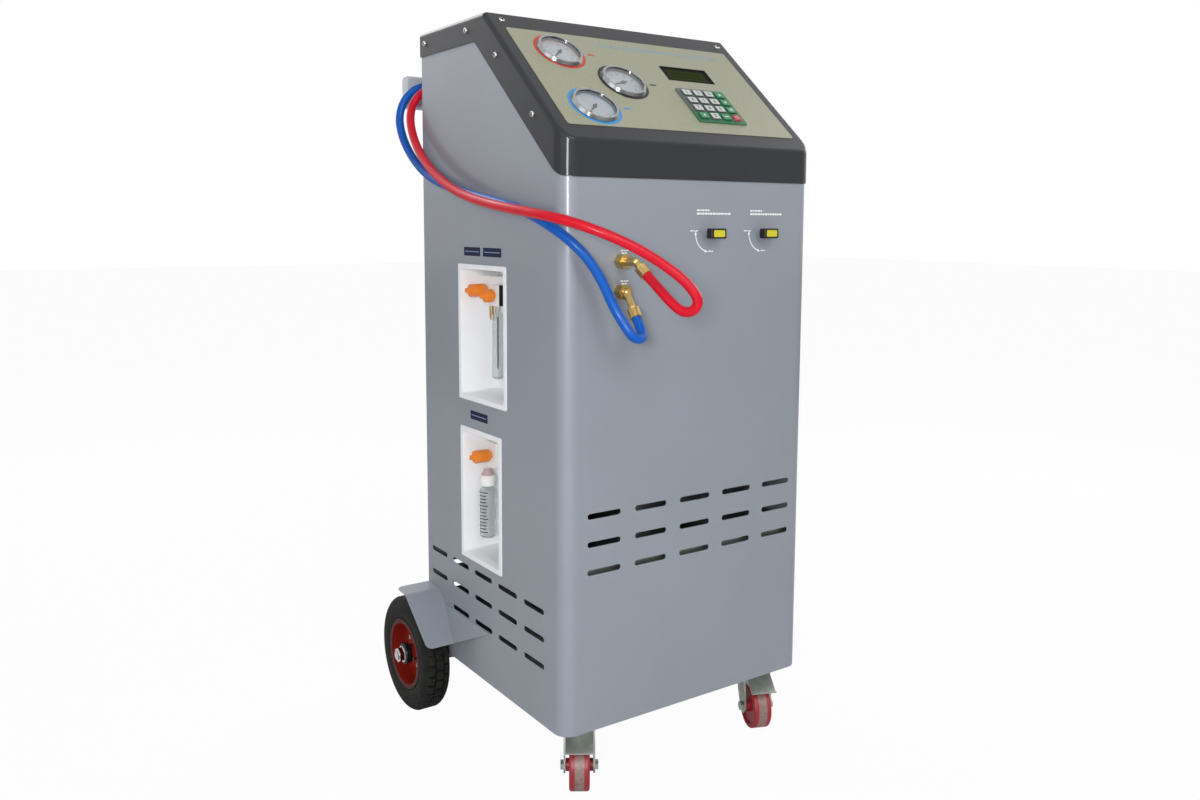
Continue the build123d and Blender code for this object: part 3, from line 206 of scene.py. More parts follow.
# %% Coated metals
def coat(name, dark, light, grain, bump, roughness, metallic=0.0, cloud=180.0, gloss=0.0, mirror=0.5):
    """Sprayed or powder-coated metal with orange peel and slight colour drift."""
    material, tree, place = open_material(name)
    drift = add(tree, "ShaderNodeTexNoise", {"Vector": place, "Scale": per_mm(cloud), "Detail": 3.0})
    colour = add(tree, "ShaderNodeMix", {"Factor": drift.outputs["Fac"]}, data_type="RGBA")
    colour.inputs[6].default_value = shade(dark)
    colour.inputs[7].default_value = shade(light)
    peel = add(tree, "ShaderNodeTexNoise", {"Vector": place, "Scale": per_mm(grain), "Detail": 2.0})
    relief = add(tree, "ShaderNodeBump", {"Height": peel.outputs["Fac"], "Strength": bump, "Distance": 0.0003})
    surface = {"Base Color": colour.outputs[2], "Normal": relief.outputs["Normal"], "Roughness": roughness,
               "Metallic": metallic, "Coat Weight": gloss, "Coat Roughness": 0.12, "Specular IOR Level": mirror}
    close_material(tree, add(tree, "ShaderNodeBsdfPrincipled", surface))
    return material


grey_powder_coat = coat("grey_powder_coat", "#8C9199", "#949AA3", 1.6, 0.1, 0.42, 0.1, gloss=0.35, mirror=0.3)
rear_powder_coat = coat("rear_powder_coat", "#868C94", "#8E949C", 1.6, 0.16, 0.45, 0.1, gloss=0.2, mirror=0.3)
charcoal_wrinkle_paint = coat("charcoal_wrinkle_paint", "#26272B", "#2B2C31", 1.1, 0.25, 0.5, gloss=0.3, mirror=0.15)
black_chassis_paint = coat("black_chassis_paint", "#2A2B2E", "#333438", 2.0, 0.2, 0.5)
light_grey_enamel = coat("light_grey_enamel", "#BFC3C7", "#C9CDD0", 2.0, 0.08, 0.3, gloss=0.3)
blue_tank_enamel = coat("blue_tank_enamel", "#2E6CC0", "#3A7CD0", 3.0, 0.08, 0.3, gloss=0.5)
black_enamel = coat("black_enamel", "#141517", "#1B1C1F", 3.0, 0.1, 0.25, gloss=0.4)
print("coats", len(bpy.data.materials))


# %% [markdown]
# Bare metals keep the default IOR and are told apart by colour and roughness. Machined brass has
# fine turning marks, zinc plating is slightly yellow and cloudy, and the gauge rings are polished
# stainless steel that mirrors the bright room.

# %% Bare metals
def bare_metal(name, dark, light, roughness, grain, bump, cloud=12.0):
    """Machined, plated or polished metal with a faint surface pattern."""
    material, tree, place = open_material(name)
    drift = add(tree, "ShaderNodeTexNoise", {"Vector": place, "Scale": per_mm(cloud), "Detail": 4.0})
    colour = add(tree, "ShaderNodeMix", {"Factor": drift.outputs["Fac"]}, data_type="RGBA")
    colour.inputs[6].default_value = shade(dark)
    colour.inputs[7].default_value = shade(light)
    marks = add(tree, "ShaderNodeTexNoise", {"Vector": place, "Scale": per_mm(grain), "Detail": 2.0})
    relief = add(tree, "ShaderNodeBump", {"Height": marks.outputs["Fac"], "Strength": bump, "Distance": 0.0001})
    surface = {"Base Color": colour.outputs[2], "Normal": relief.outputs["Normal"], "Roughness": roughness,
               "Metallic": 1.0}
    close_material(tree, add(tree, "ShaderNodeBsdfPrincipled", surface))
    return material


turned_brass = bare_metal("turned_brass", "#A88A4C", "#D8BE84", 0.3, 0.8, 0.3, 6.0)
zinc_plate = bare_metal("zinc_plate", "#9EA49E", "#CDD1C8", 0.36, 1.5, 0.25, 9.0)
bright_zinc = bare_metal("bright_zinc", "#D2D4D0", "#E8E8E4", 0.3, 1.5, 0.1)
polished_stainless = bare_metal("polished_stainless", "#888A8C", "#B2B4B5", 0.16, 2.0, 0.05)
chrome_plate = bare_metal("chrome_plate", "#C4C6C8", "#DADCDD", 0.1, 3.0, 0.04)
cast_aluminium = bare_metal("cast_aluminium", "#6F7478", "#8B9094", 0.5, 0.9, 0.6)
fin_aluminium = bare_metal("fin_aluminium", "#8C9296", "#A9AEB2", 0.4, 1.0, 0.2)


# %% [markdown]
# Plastics and rubber. Moulded parts have a faint satin grain, silicone keys are soft and matt, a
# PVC hose is glossy, and tyre rubber is dusty black.

# %% Plastics and rubber
def moulded(name, colour_code, roughness, grain=1.2, bump=0.08, coat_weight=0.0, drift=0.06, mirror=0.4):
    """Moulded plastic or rubber with a fine grain and slight colour drift."""
    material, tree, place = open_material(name)
    surface = {"Base Color": shade(colour_code), "Roughness": roughness, "Coat Weight": coat_weight,
               "Coat Roughness": 0.1, "Specular IOR Level": mirror}
    if drift:
        cloud = add(tree, "ShaderNodeTexNoise", {"Vector": place, "Scale": per_mm(30.0), "Detail": 3.0})
        swing = add(tree, "ShaderNodeMapRange", {"Value": cloud.outputs["Fac"], "To Min": 1 - drift, "To Max": 1 + drift})
        colour = add(tree, "ShaderNodeHueSaturation", {"Color": shade(colour_code), "Value": swing.outputs["Result"]})
        surface["Base Color"] = colour.outputs["Color"]
    if bump:
        peel = add(tree, "ShaderNodeTexNoise", {"Vector": place, "Scale": per_mm(grain), "Detail": 2.0})
        relief = add(tree, "ShaderNodeBump", {"Height": peel.outputs["Fac"], "Strength": bump, "Distance": 0.0002})
        surface["Normal"] = relief.outputs["Normal"]
    close_material(tree, add(tree, "ShaderNodeBsdfPrincipled", surface))
    return material


white_abs = moulded("white_abs", "#F3F4F6", 0.38, drift=0.02)
orange_nylon = moulded("orange_nylon", "#F08A26", 0.35, coat_weight=0.3)
black_abs = moulded("black_abs", "#151617", 0.4, mirror=0.25)
yellow_label_plastic = moulded("yellow_label_plastic", "#CFC62E", 0.4)
red_silicone = moulded("red_silicone", "#AE4542", 0.5)
red_hose_pvc = moulded("red_hose_pvc", "#CE0A26", 0.4, coat_weight=0.2, drift=0.1, mirror=0.15)
blue_hose_pvc = moulded("blue_hose_pvc", "#0457B4", 0.4, coat_weight=0.2, drift=0.1, mirror=0.15)
fan_plastic = moulded("fan_plastic", "#1C1D1F", 0.4)
tube_plastic = moulded("tube_plastic", "#55595A", 0.4)
white_print = moulded("white_print", "#F2F4F4", 0.5, bump=0.0, drift=0.0)
black_print = moulded("black_print", "#17181A", 0.5, bump=0.0, drift=0.0)
red_print = moulded("red_print", "#C8402E", 0.5, bump=0.0, drift=0.0)
blue_print = moulded("blue_print", "#3C96D8", 0.5, bump=0.0, drift=0.0)
navy_label_film = moulded("navy_label_film", "#141D3A", 0.6, bump=0.02, mirror=0.15)
pale_label_line = moulded("pale_label_line", "#7F90B4", 0.5, bump=0.0, drift=0.0)
pale_blue_print = moulded("pale_blue_print", "#8AA9B4", 0.5, bump=0.0, drift=0.0)
# A white dial card drawn grey-blue: painted shade under the lens.
shaded_dial_card = moulded("shaded_dial_card", "#BFC2CA", 0.4, bump=0.02, drift=0.02)
lcd_olive = moulded("lcd_olive", "#343D1C", 0.7, grain=1.0, bump=0.02, mirror=0.02)
display_black_film = moulded("display_black_film", "#0B0D09", 0.6, bump=0.02, mirror=0.1)


# %% [markdown]
# Two finishes change from one face to the next. A keypad's key tops are pale, and a key face that
# does not look out of the console is drawn in a darker colour, as painted shade on the key sides.
# The lower bottle's head has a pink cone over its white cap, told apart here by height.

# %% Printed keys and bottle heads
def printed_key(name, top, side_shade):
    """Silicone key with a pale top and sides drawn darker by their facing, as painted shade."""
    material, tree, place = open_material(name)
    face = add(tree, "ShaderNodeNewGeometry")
    lean = add(tree, "ShaderNodeVectorMath", {0: face.outputs["True Normal"], 1: outward}, operation="DOT_PRODUCT")
    # Faces that do not look out of the console take the darker colour, as painted shade on the key sides.
    cover = add(tree, "ShaderNodeMath", {0: lean.outputs["Value"], 1: 0.8}, operation="GREATER_THAN")
    colour = add(tree, "ShaderNodeMix", {"Factor": cover.outputs["Value"]}, data_type="RGBA")
    colour.inputs[6].default_value = shade(side_shade)
    colour.inputs[7].default_value = shade(top)
    grain = add(tree, "ShaderNodeTexNoise", {"Vector": place, "Scale": per_mm(1.2)})
    relief = add(tree, "ShaderNodeBump", {"Height": grain.outputs["Fac"], "Strength": 0.1, "Distance": 0.0002})
    surface = {"Base Color": colour.outputs[2], "Normal": relief.outputs["Normal"], "Roughness": 0.55}
    close_material(tree, add(tree, "ShaderNodeBsdfPrincipled", surface))
    return material


def head_plastic(name, low, high):
    """White nylon that is pink between two heights, where the cone sits."""
    material, tree, place = open_material(name)
    split = add(tree, "ShaderNodeSeparateXYZ", {"Vector": place})
    above = add(tree, "ShaderNodeMath", {0: split.outputs["Z"], 1: low}, operation="GREATER_THAN")
    below = add(tree, "ShaderNodeMath", {0: split.outputs["Z"], 1: high}, operation="LESS_THAN")
    cone = add(tree, "ShaderNodeMath", {0: above.outputs["Value"], 1: below.outputs["Value"]}, operation="MULTIPLY")
    colour = add(tree, "ShaderNodeMix", {"Factor": cone.outputs["Value"]}, data_type="RGBA")
    colour.inputs[6].default_value = shade("#F0F0EE")
    colour.inputs[7].default_value = shade("#BFA6AB")
    grain = add(tree, "ShaderNodeTexNoise", {"Vector": place, "Scale": per_mm(1.2)})
    relief = add(tree, "ShaderNodeBump", {"Height": grain.outputs["Fac"], "Strength": 0.1, "Distance": 0.0002})
    surface = {"Base Color": colour.outputs[2], "Normal": relief.outputs["Normal"], "Roughness": 0.45}
    close_material(tree, add(tree, "ShaderNodeBsdfPrincipled", surface))
    return material


# The second colour of each key is painted shade on its sides.
white_silicone = printed_key("white_silicone", "#D0D2CE", "#565E5B")
green_silicone = printed_key("green_silicone", "#3F8A60", "#27613F")
cone_low = 0.4740
cone_high = 0.4858
white_nylon = head_plastic("white_nylon", cone_low, cone_high)
print("printed finishes", len(bpy.data.materials))

# %% Tyre rubber
def tyre_compound(name):
    """Vulcanised rubber: near black, with paler dust in a coarse noise."""
    material, tree, place = open_material(name)
    dust = add(tree, "ShaderNodeTexNoise", {"Vector": place, "Scale": per_mm(14.0), "Detail": 8.0, "Roughness": 0.7})
    ramp = add(tree, "ShaderNodeValToRGB", {"Fac": dust.outputs["Fac"]})
    ramp.color_ramp.elements[0].position = 0.35
    ramp.color_ramp.elements[0].color = shade("#0C0C0C")
    ramp.color_ramp.elements[1].position = 0.75
    ramp.color_ramp.elements[1].color = shade("#272623")
    pores = add(tree, "ShaderNodeTexNoise", {"Vector": place, "Scale": per_mm(1.0), "Detail": 3.0})
    relief = add(tree, "ShaderNodeBump", {"Height": pores.outputs["Fac"], "Strength": 0.3, "Distance": 0.0003})
    surface = {"Base Color": ramp.outputs["Color"], "Normal": relief.outputs["Normal"], "Roughness": 0.72,
               "Specular IOR Level": 0.2}
    close_material(tree, add(tree, "ShaderNodeBsdfPrincipled", surface))
    return material


tyre_rubber = tyre_compound("tyre_rubber")

# %% [markdown]
# The rims are pressed steel in a baked red enamel. Their outer lip lies against the tyre, and it is
# drawn much darker than the dish, as painted shade. The lip is a matter of radius, so the material
# measures how far a point is from the axle and blends to the darker red past the lip's edge.

# %% Rim enamel
def rim_enamel(name, axle_y, axle_z, lip):
    """Red baked enamel, darker outside this radius as painted shade on the lip."""
    material, tree, place = open_material(name)
    split = add(tree, "ShaderNodeSeparateXYZ", {"Vector": place})
    along = add(tree, "ShaderNodeMath", {0: split.outputs["Y"], 1: axle_y}, operation="SUBTRACT")
    above = add(tree, "ShaderNodeMath", {0: split.outputs["Z"], 1: axle_z}, operation="SUBTRACT")
    flat = add(tree, "ShaderNodeCombineXYZ", {"X": along.outputs["Value"], "Y": above.outputs["Value"]})
    radius = add(tree, "ShaderNodeVectorMath", {0: flat.outputs["Vector"]}, operation="LENGTH")
    edge = add(tree, "ShaderNodeMapRange", {"Value": radius.outputs["Value"], "From Min": lip - 0.001,
                                            "From Max": lip + 0.001})
    colour = add(tree, "ShaderNodeMix", {"Factor": edge.outputs["Result"]}, data_type="RGBA")
    colour.inputs[6].default_value = shade("#8E2015")
    # The darker red past the lip's edge is painted shade.
    colour.inputs[7].default_value = shade("#3A0F0B")
    peel = add(tree, "ShaderNodeTexNoise", {"Vector": place, "Scale": per_mm(3.0), "Detail": 2.0})
    relief = add(tree, "ShaderNodeBump", {"Height": peel.outputs["Fac"], "Strength": 0.15, "Distance": 0.0003})
    surface = {"Base Color": colour.outputs[2], "Normal": relief.outputs["Normal"], "Roughness": 0.45,
               "Coat Weight": 0.05, "Coat Roughness": 0.15, "Specular IOR Level": 0.15}
    close_material(tree, add(tree, "ShaderNodeBsdfPrincipled", surface))
    return material


axle_middle = Vector(joints["rear_wheel_left_spin"]["pos_m"])
# Radius past which the rim is drawn darker as painted shade.
rim_shade_radius = 0.0575
red_rim_enamel = rim_enamel("red_rim_enamel", axle_middle.y, axle_middle.z, rim_shade_radius)


# %% [markdown]
# A caster wheel has a dark red tread of cast polyurethane whose running band is worn grey-brown.
# The band follows the wheel's own axis, so the material first moves the pattern to the
# wheel's middle and turns it to face the way the caster stands.

# %% Caster tread
def caster_tread(name, middle, heading, band):
    """Red tread with a dirty band of this half width round its middle."""
    material, tree, place = open_material(name)
    shifted = add(tree, "ShaderNodeVectorMath", {0: place, 1: middle}, operation="SUBTRACT")
    turned = add(tree, "ShaderNodeVectorRotate", {"Vector": shifted.outputs["Vector"], "Angle": -heading},
                 rotation_type="Z_AXIS")
    split = add(tree, "ShaderNodeSeparateXYZ", {"Vector": turned.outputs["Vector"]})
    along = add(tree, "ShaderNodeMath", {0: split.outputs["X"]}, operation="ABSOLUTE")
    edge = add(tree, "ShaderNodeMapRange", {"Value": along.outputs["Value"], "From Min": band - 0.001,
                                            "From Max": band + 0.001, "To Min": 1.0, "To Max": 0.0})
    grime = add(tree, "ShaderNodeTexNoise", {"Vector": place, "Scale": per_mm(6.0), "Detail": 6.0})
    worn = add(tree, "ShaderNodeMath", {0: edge.outputs["Result"], 1: grime.outputs["Fac"]}, operation="MULTIPLY")
    strong = add(tree, "ShaderNodeMath", {0: worn.outputs["Value"], 1: 1.7}, operation="MULTIPLY", use_clamp=True)
    colour = add(tree, "ShaderNodeMix", {"Factor": strong.outputs["Value"]}, data_type="RGBA")
    colour.inputs[6].default_value = shade("#97242E")
    colour.inputs[7].default_value = shade("#8A7A72")
    relief = add(tree, "ShaderNodeBump", {"Height": grime.outputs["Fac"], "Strength": 0.2, "Distance": 0.0003})
    surface = {"Base Color": colour.outputs[2], "Normal": relief.outputs["Normal"], "Roughness": 0.4}
    close_material(tree, add(tree, "ShaderNodeBsdfPrincipled", surface))
    return material


# %% [markdown]
# The console film is a printed polyester sheet in a warm khaki grey with a fine speckle, and the
# keypad's base sheet is grey round the white keys and green round the green ones. Clear parts are
# the gauge lenses and the two oil bottles.

# %% Printed films
def console_film(name):
    """Matt printed film with a fine two-tone speckle."""
    material, tree, place = open_material(name)
    dots = add(tree, "ShaderNodeTexNoise", {"Vector": place, "Scale": per_mm(1.4), "Detail": 2.0})
    ramp = add(tree, "ShaderNodeValToRGB", {"Fac": dots.outputs["Fac"]})
    ramp.color_ramp.elements[0].position = 0.4
    ramp.color_ramp.elements[0].color = shade("#979780")
    ramp.color_ramp.elements[1].position = 0.6
    ramp.color_ramp.elements[1].color = shade("#A9A991")
    surface = {"Base Color": ramp.outputs["Color"], "Roughness": 0.42}
    close_material(tree, add(tree, "ShaderNodeBsdfPrincipled", surface))
    return material


def keypad_film(name, right_edge, low_edge):
    """Grey keypad sheet, green right of one line and below another."""
    material, tree, place = open_material(name)
    split = add(tree, "ShaderNodeSeparateXYZ", {"Vector": place})
    beside = add(tree, "ShaderNodeMath", {0: split.outputs["X"], 1: right_edge}, operation="GREATER_THAN")
    below = add(tree, "ShaderNodeMath", {0: split.outputs["Z"], 1: low_edge}, operation="LESS_THAN")
    either = add(tree, "ShaderNodeMath", {0: beside.outputs["Value"], 1: below.outputs["Value"]}, operation="MAXIMUM")
    grain = add(tree, "ShaderNodeTexNoise", {"Vector": place, "Scale": per_mm(1.2)})
    colour = add(tree, "ShaderNodeMix", {"Factor": either.outputs["Value"]}, data_type="RGBA")
    colour.inputs[6].default_value = shade("#5D6562")
    colour.inputs[7].default_value = shade("#2B6B47")
    relief = add(tree, "ShaderNodeBump", {"Height": grain.outputs["Fac"], "Strength": 0.1, "Distance": 0.0002})
    surface = {"Base Color": colour.outputs[2], "Normal": relief.outputs["Normal"], "Roughness": 0.5}
    close_material(tree, add(tree, "ShaderNodeBsdfPrincipled", surface))
    return material


# %% Clear parts
def clear(name, tint, roughness, passing, ior, grain=4.0, bump=0.02):
    """Glass or clear plastic with very slight ripples."""
    material, tree, place = open_material(name)
    ripple = add(tree, "ShaderNodeTexNoise", {"Vector": place, "Scale": per_mm(grain)})
    relief = add(tree, "ShaderNodeBump", {"Height": ripple.outputs["Fac"], "Strength": bump, "Distance": 0.0002})
    surface = {"Base Color": shade(tint), "Normal": relief.outputs["Normal"], "Roughness": roughness,
               "Transmission Weight": passing, "IOR": ior}
    close_material(tree, add(tree, "ShaderNodeBsdfPrincipled", surface))
    return material


gauge_glass = clear("gauge_glass", "#F4F8F8", 0.02, 1.0, 1.45)
clear_polyethylene = clear("clear_polyethylene", "#F2F6F4", 0.1, 0.92, 1.45)
print("materials", len(bpy.data.materials))

# %% [markdown]
# Now every construction part gets its finish. A part made of several solids, such as the gauge
# cases, keeps one material here, and what is printed or fitted on it is modelled further down.

# %% Dress the construction parts
caster_data = {}
for side in ("left", "right"):
    spin = joints["caster_wheel_" + side + "_spin"]
    heading = atan2(spin["axis"][1], spin["axis"][0])
    caster_data[side] = caster_tread("caster_tread_" + side, Vector(spin["pos_m"]), heading, 0.0075)

pad_low, pad_high = [Vector(corner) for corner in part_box("keypad_frame")]
third_row = peak("key_9", outward)
fourth_row = peak("key_0", outward)
third_column = peak("key_3", outward)
fourth_column = peak("key_up", outward)
keypad_sheet = keypad_film("keypad_sheet", (third_column.x + fourth_column.x) / 2, (third_row.z + fourth_row.z) / 2)
finishes = {
    "cabinet_wrap": grey_powder_coat, "wheel_fenders": grey_powder_coat, "rear_panel": rear_powder_coat,
    "base_tray": grey_powder_coat, "chassis_brackets": zinc_plate, "hood": charcoal_wrinkle_paint,
    "console_overlay": console_film("console_film"), "gauge_cases": black_enamel,
    "gauge_bezels": polished_stainless, "gauge_lenses": gauge_glass, "display_module": display_black_film,
    "keypad_frame": keypad_sheet, "panel_screws": bright_zinc, "valve_manifold": turned_brass,
    "valve_handle_left": black_abs, "valve_handle_right": black_abs, "service_couplers": black_abs,
    "bottle_recesses": white_abs, "oil_bottles": clear_polyethylene, "bottle_heads": white_nylon,
    "quick_couplers": orange_nylon, "rear_axle": chrome_plate, "push_handle": light_grey_enamel,
    "refrigerant_tank": blue_tank_enamel, "equipment_shelf": zinc_plate, "vacuum_pump": cast_aluminium,
    "compressor": black_enamel, "condenser": fin_aluminium, "fan_rotor": fan_plastic,
    "caster_wheel_left": caster_data["left"], "caster_wheel_right": caster_data["right"],
}
for side in ("left", "right"):
    finishes["tyre_" + side] = tyre_rubber
    finishes["rim_" + side] = red_rim_enamel
    finishes["caster_fork_" + side] = zinc_plate
    finishes["brake_pedal_" + side] = zinc_plate
for name in ("high_pressure", "cylinder_pressure", "low_pressure"):
    finishes["needle_" + name] = black_print
for digit in range(10):
    finishes["key_" + str(digit)] = white_silicone
for name in ("up", "down", "menu", "back", "enter"):
    finishes["key_" + name] = green_silicone
finishes["key_stop"] = red_silicone
for name, material in finishes.items():
    mesh = frame["nodes"][name].data
    mesh.materials.clear()
    mesh.materials.append(material)
print("dressed", len(finishes))


# %% [markdown]
# New pieces start as a primitive at their size, are shaped with the edit tools and end with their
# place in the mesh. These helpers do what a hand does between two tools: clear the selection,
# pick faces by where they look, and settle a finished piece on the body it belongs to.

# %% Helpers for modelling
def clear_selection():
    """Leaves edit mode and deselects everything."""
    if bpy.context.object and bpy.context.object.mode != "OBJECT":
        bpy.ops.object.mode_set(mode="OBJECT")
    bpy.ops.object.select_all(action="DESELECT")


def pick(piece, test):
    """Selects, in edit mode, the faces whose centre and normal pass a test."""
    bpy.ops.object.mode_set(mode="OBJECT")
    bpy.context.tool_settings.mesh_select_mode = (False, False, True)
    for item in (*piece.data.vertices, *piece.data.edges, *piece.data.polygons):
        item.select = False
    for face in piece.data.polygons:
        face.select = test(face.center, face.normal)
    bpy.ops.object.mode_set(mode="EDIT")


def lift(distance):
    """Extrudes the picked faces along local Z."""
    bpy.ops.mesh.extrude_region_move(TRANSFORM_OT_translate={"value": (0, 0, distance)})


def settle(piece, name, material, place=None, body="cabinet", smooth=35):
    """Moves a piece to its place, applies that, dresses it and lets it ride on its body."""
    if bpy.context.object.mode != "OBJECT":
        bpy.ops.mesh.select_all(action="SELECT")
        bpy.ops.mesh.normals_make_consistent(inside=False)
    clear_selection()
    piece.select_set(True)
    bpy.context.view_layer.objects.active = piece
    if place is not None:
        piece.matrix_world = place @ piece.matrix_world
    bpy.ops.object.transform_apply(location=True, rotation=True, scale=True)
    bpy.ops.object.shade_smooth_by_angle(angle=radians(smooth))
    piece.name = name
    piece.data.name = name
    piece.data.materials.clear()
    piece.data.materials.append(material)
    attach(piece, body)
    return piece


def copy_of(piece, matrix):
    """Unplaced copy of a piece with its own mesh."""
    twin = bpy.data.objects.new(piece.name + "_copy", piece.data.copy())
    scene.collection.objects.link(twin)
    twin.matrix_world = matrix
    return twin


def joined(pieces):
    """One object from several."""
    clear_selection()
    for piece in pieces:
        piece.select_set(True)
    bpy.context.view_layer.objects.active = pieces[0]
    bpy.ops.object.join()
    return pieces[0]


def plate(width, height, thickness, round_edge=0.0, at=(0, 0)):
    """Flat plate on the local floor, its upright corners rounded."""
    clear_selection()
    bpy.ops.mesh.primitive_plane_add(size=1, location=(at[0], at[1], 0))
    piece = bpy.context.object
    piece.scale = (width, height, 1)
    bpy.ops.object.transform_apply(location=False, rotation=False, scale=True)
    bpy.ops.object.mode_set(mode="EDIT")
    bpy.ops.mesh.select_all(action="SELECT")
    if round_edge:
        bpy.ops.mesh.bevel(offset=round_edge, segments=5, affect="VERTICES")
        bpy.ops.mesh.select_all(action="SELECT")
    lift(thickness)
    bpy.ops.mesh.select_all(action="SELECT")
    bpy.ops.mesh.normals_make_consistent(inside=False)
    return piece


def ring(outer, inner, thickness, vertices=96):
    """Flat ring on the local floor."""
    clear_selection()
    bpy.ops.mesh.primitive_circle_add(vertices=vertices, radius=outer, fill_type="NGON")
    piece = bpy.context.object
    bpy.ops.object.mode_set(mode="EDIT")
    bpy.ops.mesh.select_all(action="SELECT")
    bpy.ops.mesh.inset(thickness=outer - inner)
    bpy.ops.mesh.delete(type="FACE")
    bpy.ops.mesh.select_all(action="SELECT")
    lift(thickness)
    bpy.ops.mesh.select_all(action="SELECT")
    bpy.ops.mesh.normals_make_consistent(inside=False)
    return piece


def words(text, size, at=(0, 0), turn=0.0):
    """Flat characters, centred at a point of the local floor, as a mesh."""
    clear_selection()
    bpy.ops.object.text_add(location=(at[0], at[1], 0), rotation=(0, 0, turn))
    piece = bpy.context.object
    piece.data.body = text
    piece.data.size = size
    piece.data.align_x = "CENTER"
    piece.data.align_y = "CENTER"
    piece.data.extrude = film / 2
    bpy.ops.object.convert(target="MESH")
    return bpy.context.object


def arc_band(radius, width, start, sweep, thickness, steps=24):
    """Curved band: a thin bar spun about the local origin."""
    clear_selection()
    bpy.ops.mesh.primitive_plane_add(size=1)
    piece = bpy.context.object
    bpy.ops.object.mode_set(mode="EDIT")
    bpy.ops.mesh.select_all(action="SELECT")
    bpy.ops.transform.resize(value=(width, thickness, 1))
    bpy.ops.transform.rotate(value=pi / 2, orient_axis="X", center_override=(0, 0, 0))
    bpy.ops.transform.translate(value=(radius, 0, thickness / 2))
    bpy.ops.transform.rotate(value=-start, orient_axis="Z", center_override=(0, 0, 0))
    bpy.ops.mesh.spin(steps=steps, angle=-sweep, center=(0, 0, 0), axis=(0, 0, 1))
    bpy.ops.mesh.select_all(action="SELECT")
    bpy.ops.mesh.remove_doubles(threshold=0.000001)
    bpy.ops.mesh.normals_make_consistent(inside=False)
    return piece


# %% Rows of plain dashes
def print_line(left, row, width, height):
    """Plain dashes in a row, of three lengths in turn."""
    lengths = (0.0066, 0.0042, 0.0054)
    gap = 0.0012
    dashes = []
    along = left
    while along < left + width - 2 * gap:
        length = min(lengths[len(dashes) % 3], left + width - along)
        dashes.append(plate(length - gap, height, film, at=(along + (length - gap) / 2, row)))
        clear_selection()
        along += length
    return dashes


# %% [markdown]
# The hoses come first among the new pieces. Each is a glossy charging hose, 15 mm thick and about
# 1.8 m long, from its brass elbow round the cabinet's corner, over the rear handle's arm and down
# behind. A NURBS curve through listed control points bends as evenly as a real hose does.

# %% Hoses
red_route = [
    (-0.142, -0.292, 0.834), (-0.135, -0.315, 0.813), (-0.129, -0.338, 0.793), (-0.122, -0.353, 0.782),
    (-0.115, -0.366, 0.784), (-0.111, -0.373, 0.793), (-0.113, -0.374, 0.806), (-0.127, -0.363, 0.828),
    (-0.150, -0.345, 0.850), (-0.184, -0.328, 0.873), (-0.222, -0.306, 0.893), (-0.257, -0.277, 0.909),
    (-0.279, -0.238, 0.919), (-0.284, -0.160, 0.928), (-0.284, -0.060, 0.939), (-0.282, 0.045, 0.959),
    (-0.278, 0.140, 0.994), (-0.272, 0.212, 1.037), (-0.266, 0.254, 1.082), (-0.256, 0.272, 1.116),
    (-0.238, 0.271, 1.143), (-0.210, 0.262, 1.156), (-0.176, 0.260, 1.159), (-0.144, 0.261, 1.149),
    (-0.121, 0.263, 1.126), (-0.111, 0.265, 1.090), (-0.107, 0.266, 1.024), (-0.109, 0.268, 0.905),
    (-0.105, 0.266, 0.768), (-0.108, 0.267, 0.600), (-0.106, 0.266, 0.438),
]
blue_route = [
    (-0.148, -0.276, 0.770), (-0.148, -0.283, 0.760), (-0.148, -0.291, 0.749), (-0.152, -0.297, 0.743),
    (-0.160, -0.301, 0.741), (-0.169, -0.303, 0.743), (-0.177, -0.301, 0.749), (-0.192, -0.281, 0.786),
    (-0.205, -0.273, 0.822), (-0.226, -0.262, 0.860), (-0.250, -0.244, 0.888), (-0.264, -0.212, 0.908),
    (-0.266, -0.140, 0.930), (-0.264, -0.039, 0.944), (-0.264, 0.084, 0.963), (-0.265, 0.190, 0.990),
    (-0.268, 0.257, 1.033), (-0.270, 0.293, 1.081), (-0.264, 0.301, 1.118), (-0.247, 0.296, 1.146),
    (-0.219, 0.289, 1.160), (-0.189, 0.285, 1.165), (-0.160, 0.284, 1.160), (-0.146, 0.284, 1.134),
    (-0.143, 0.285, 1.092), (-0.145, 0.283, 1.024), (-0.147, 0.281, 0.905), (-0.143, 0.282, 0.725),
    (-0.146, 0.281, 0.527), (-0.144, 0.282, 0.330),
]
hose_diameter = 0.015


def hose(name, route, material):
    """Free hose along its control points."""
    curve = bpy.data.curves.new(name, "CURVE")
    curve.dimensions = "3D"
    curve.bevel_depth = hose_diameter / 2
    curve.bevel_resolution = 6
    curve.use_fill_caps = True
    spline = curve.splines.new("NURBS")
    spline.points.add(len(route) - 1)
    for point, (x, y, z) in zip(spline.points, route):
        point.co = (x, y + cabinet_middle, z, 1.0)
    spline.order_u = 3
    spline.use_endpoint_u = True
    spline.resolution_u = 12
    piece = bpy.data.objects.new(name, curve)
    scene.collection.objects.link(piece)
    curve.materials.append(material)
    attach(piece, "cabinet")
    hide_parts(name.replace("charging_", ""))
    return piece


hose("charging_red_hose", red_route, red_hose_pvc)
hose("charging_blue_hose", blue_route, blue_hose_pvc)
print("hoses", hose_diameter)

# %% [markdown]
# Each hose ends in a crimped ferrule: a brass sleeve pressed on in rings. One sleeve is modelled
# as a cylinder whose side faces are pushed in and out by scaling every second loop, then copied
# to both hose starts and turned along them.

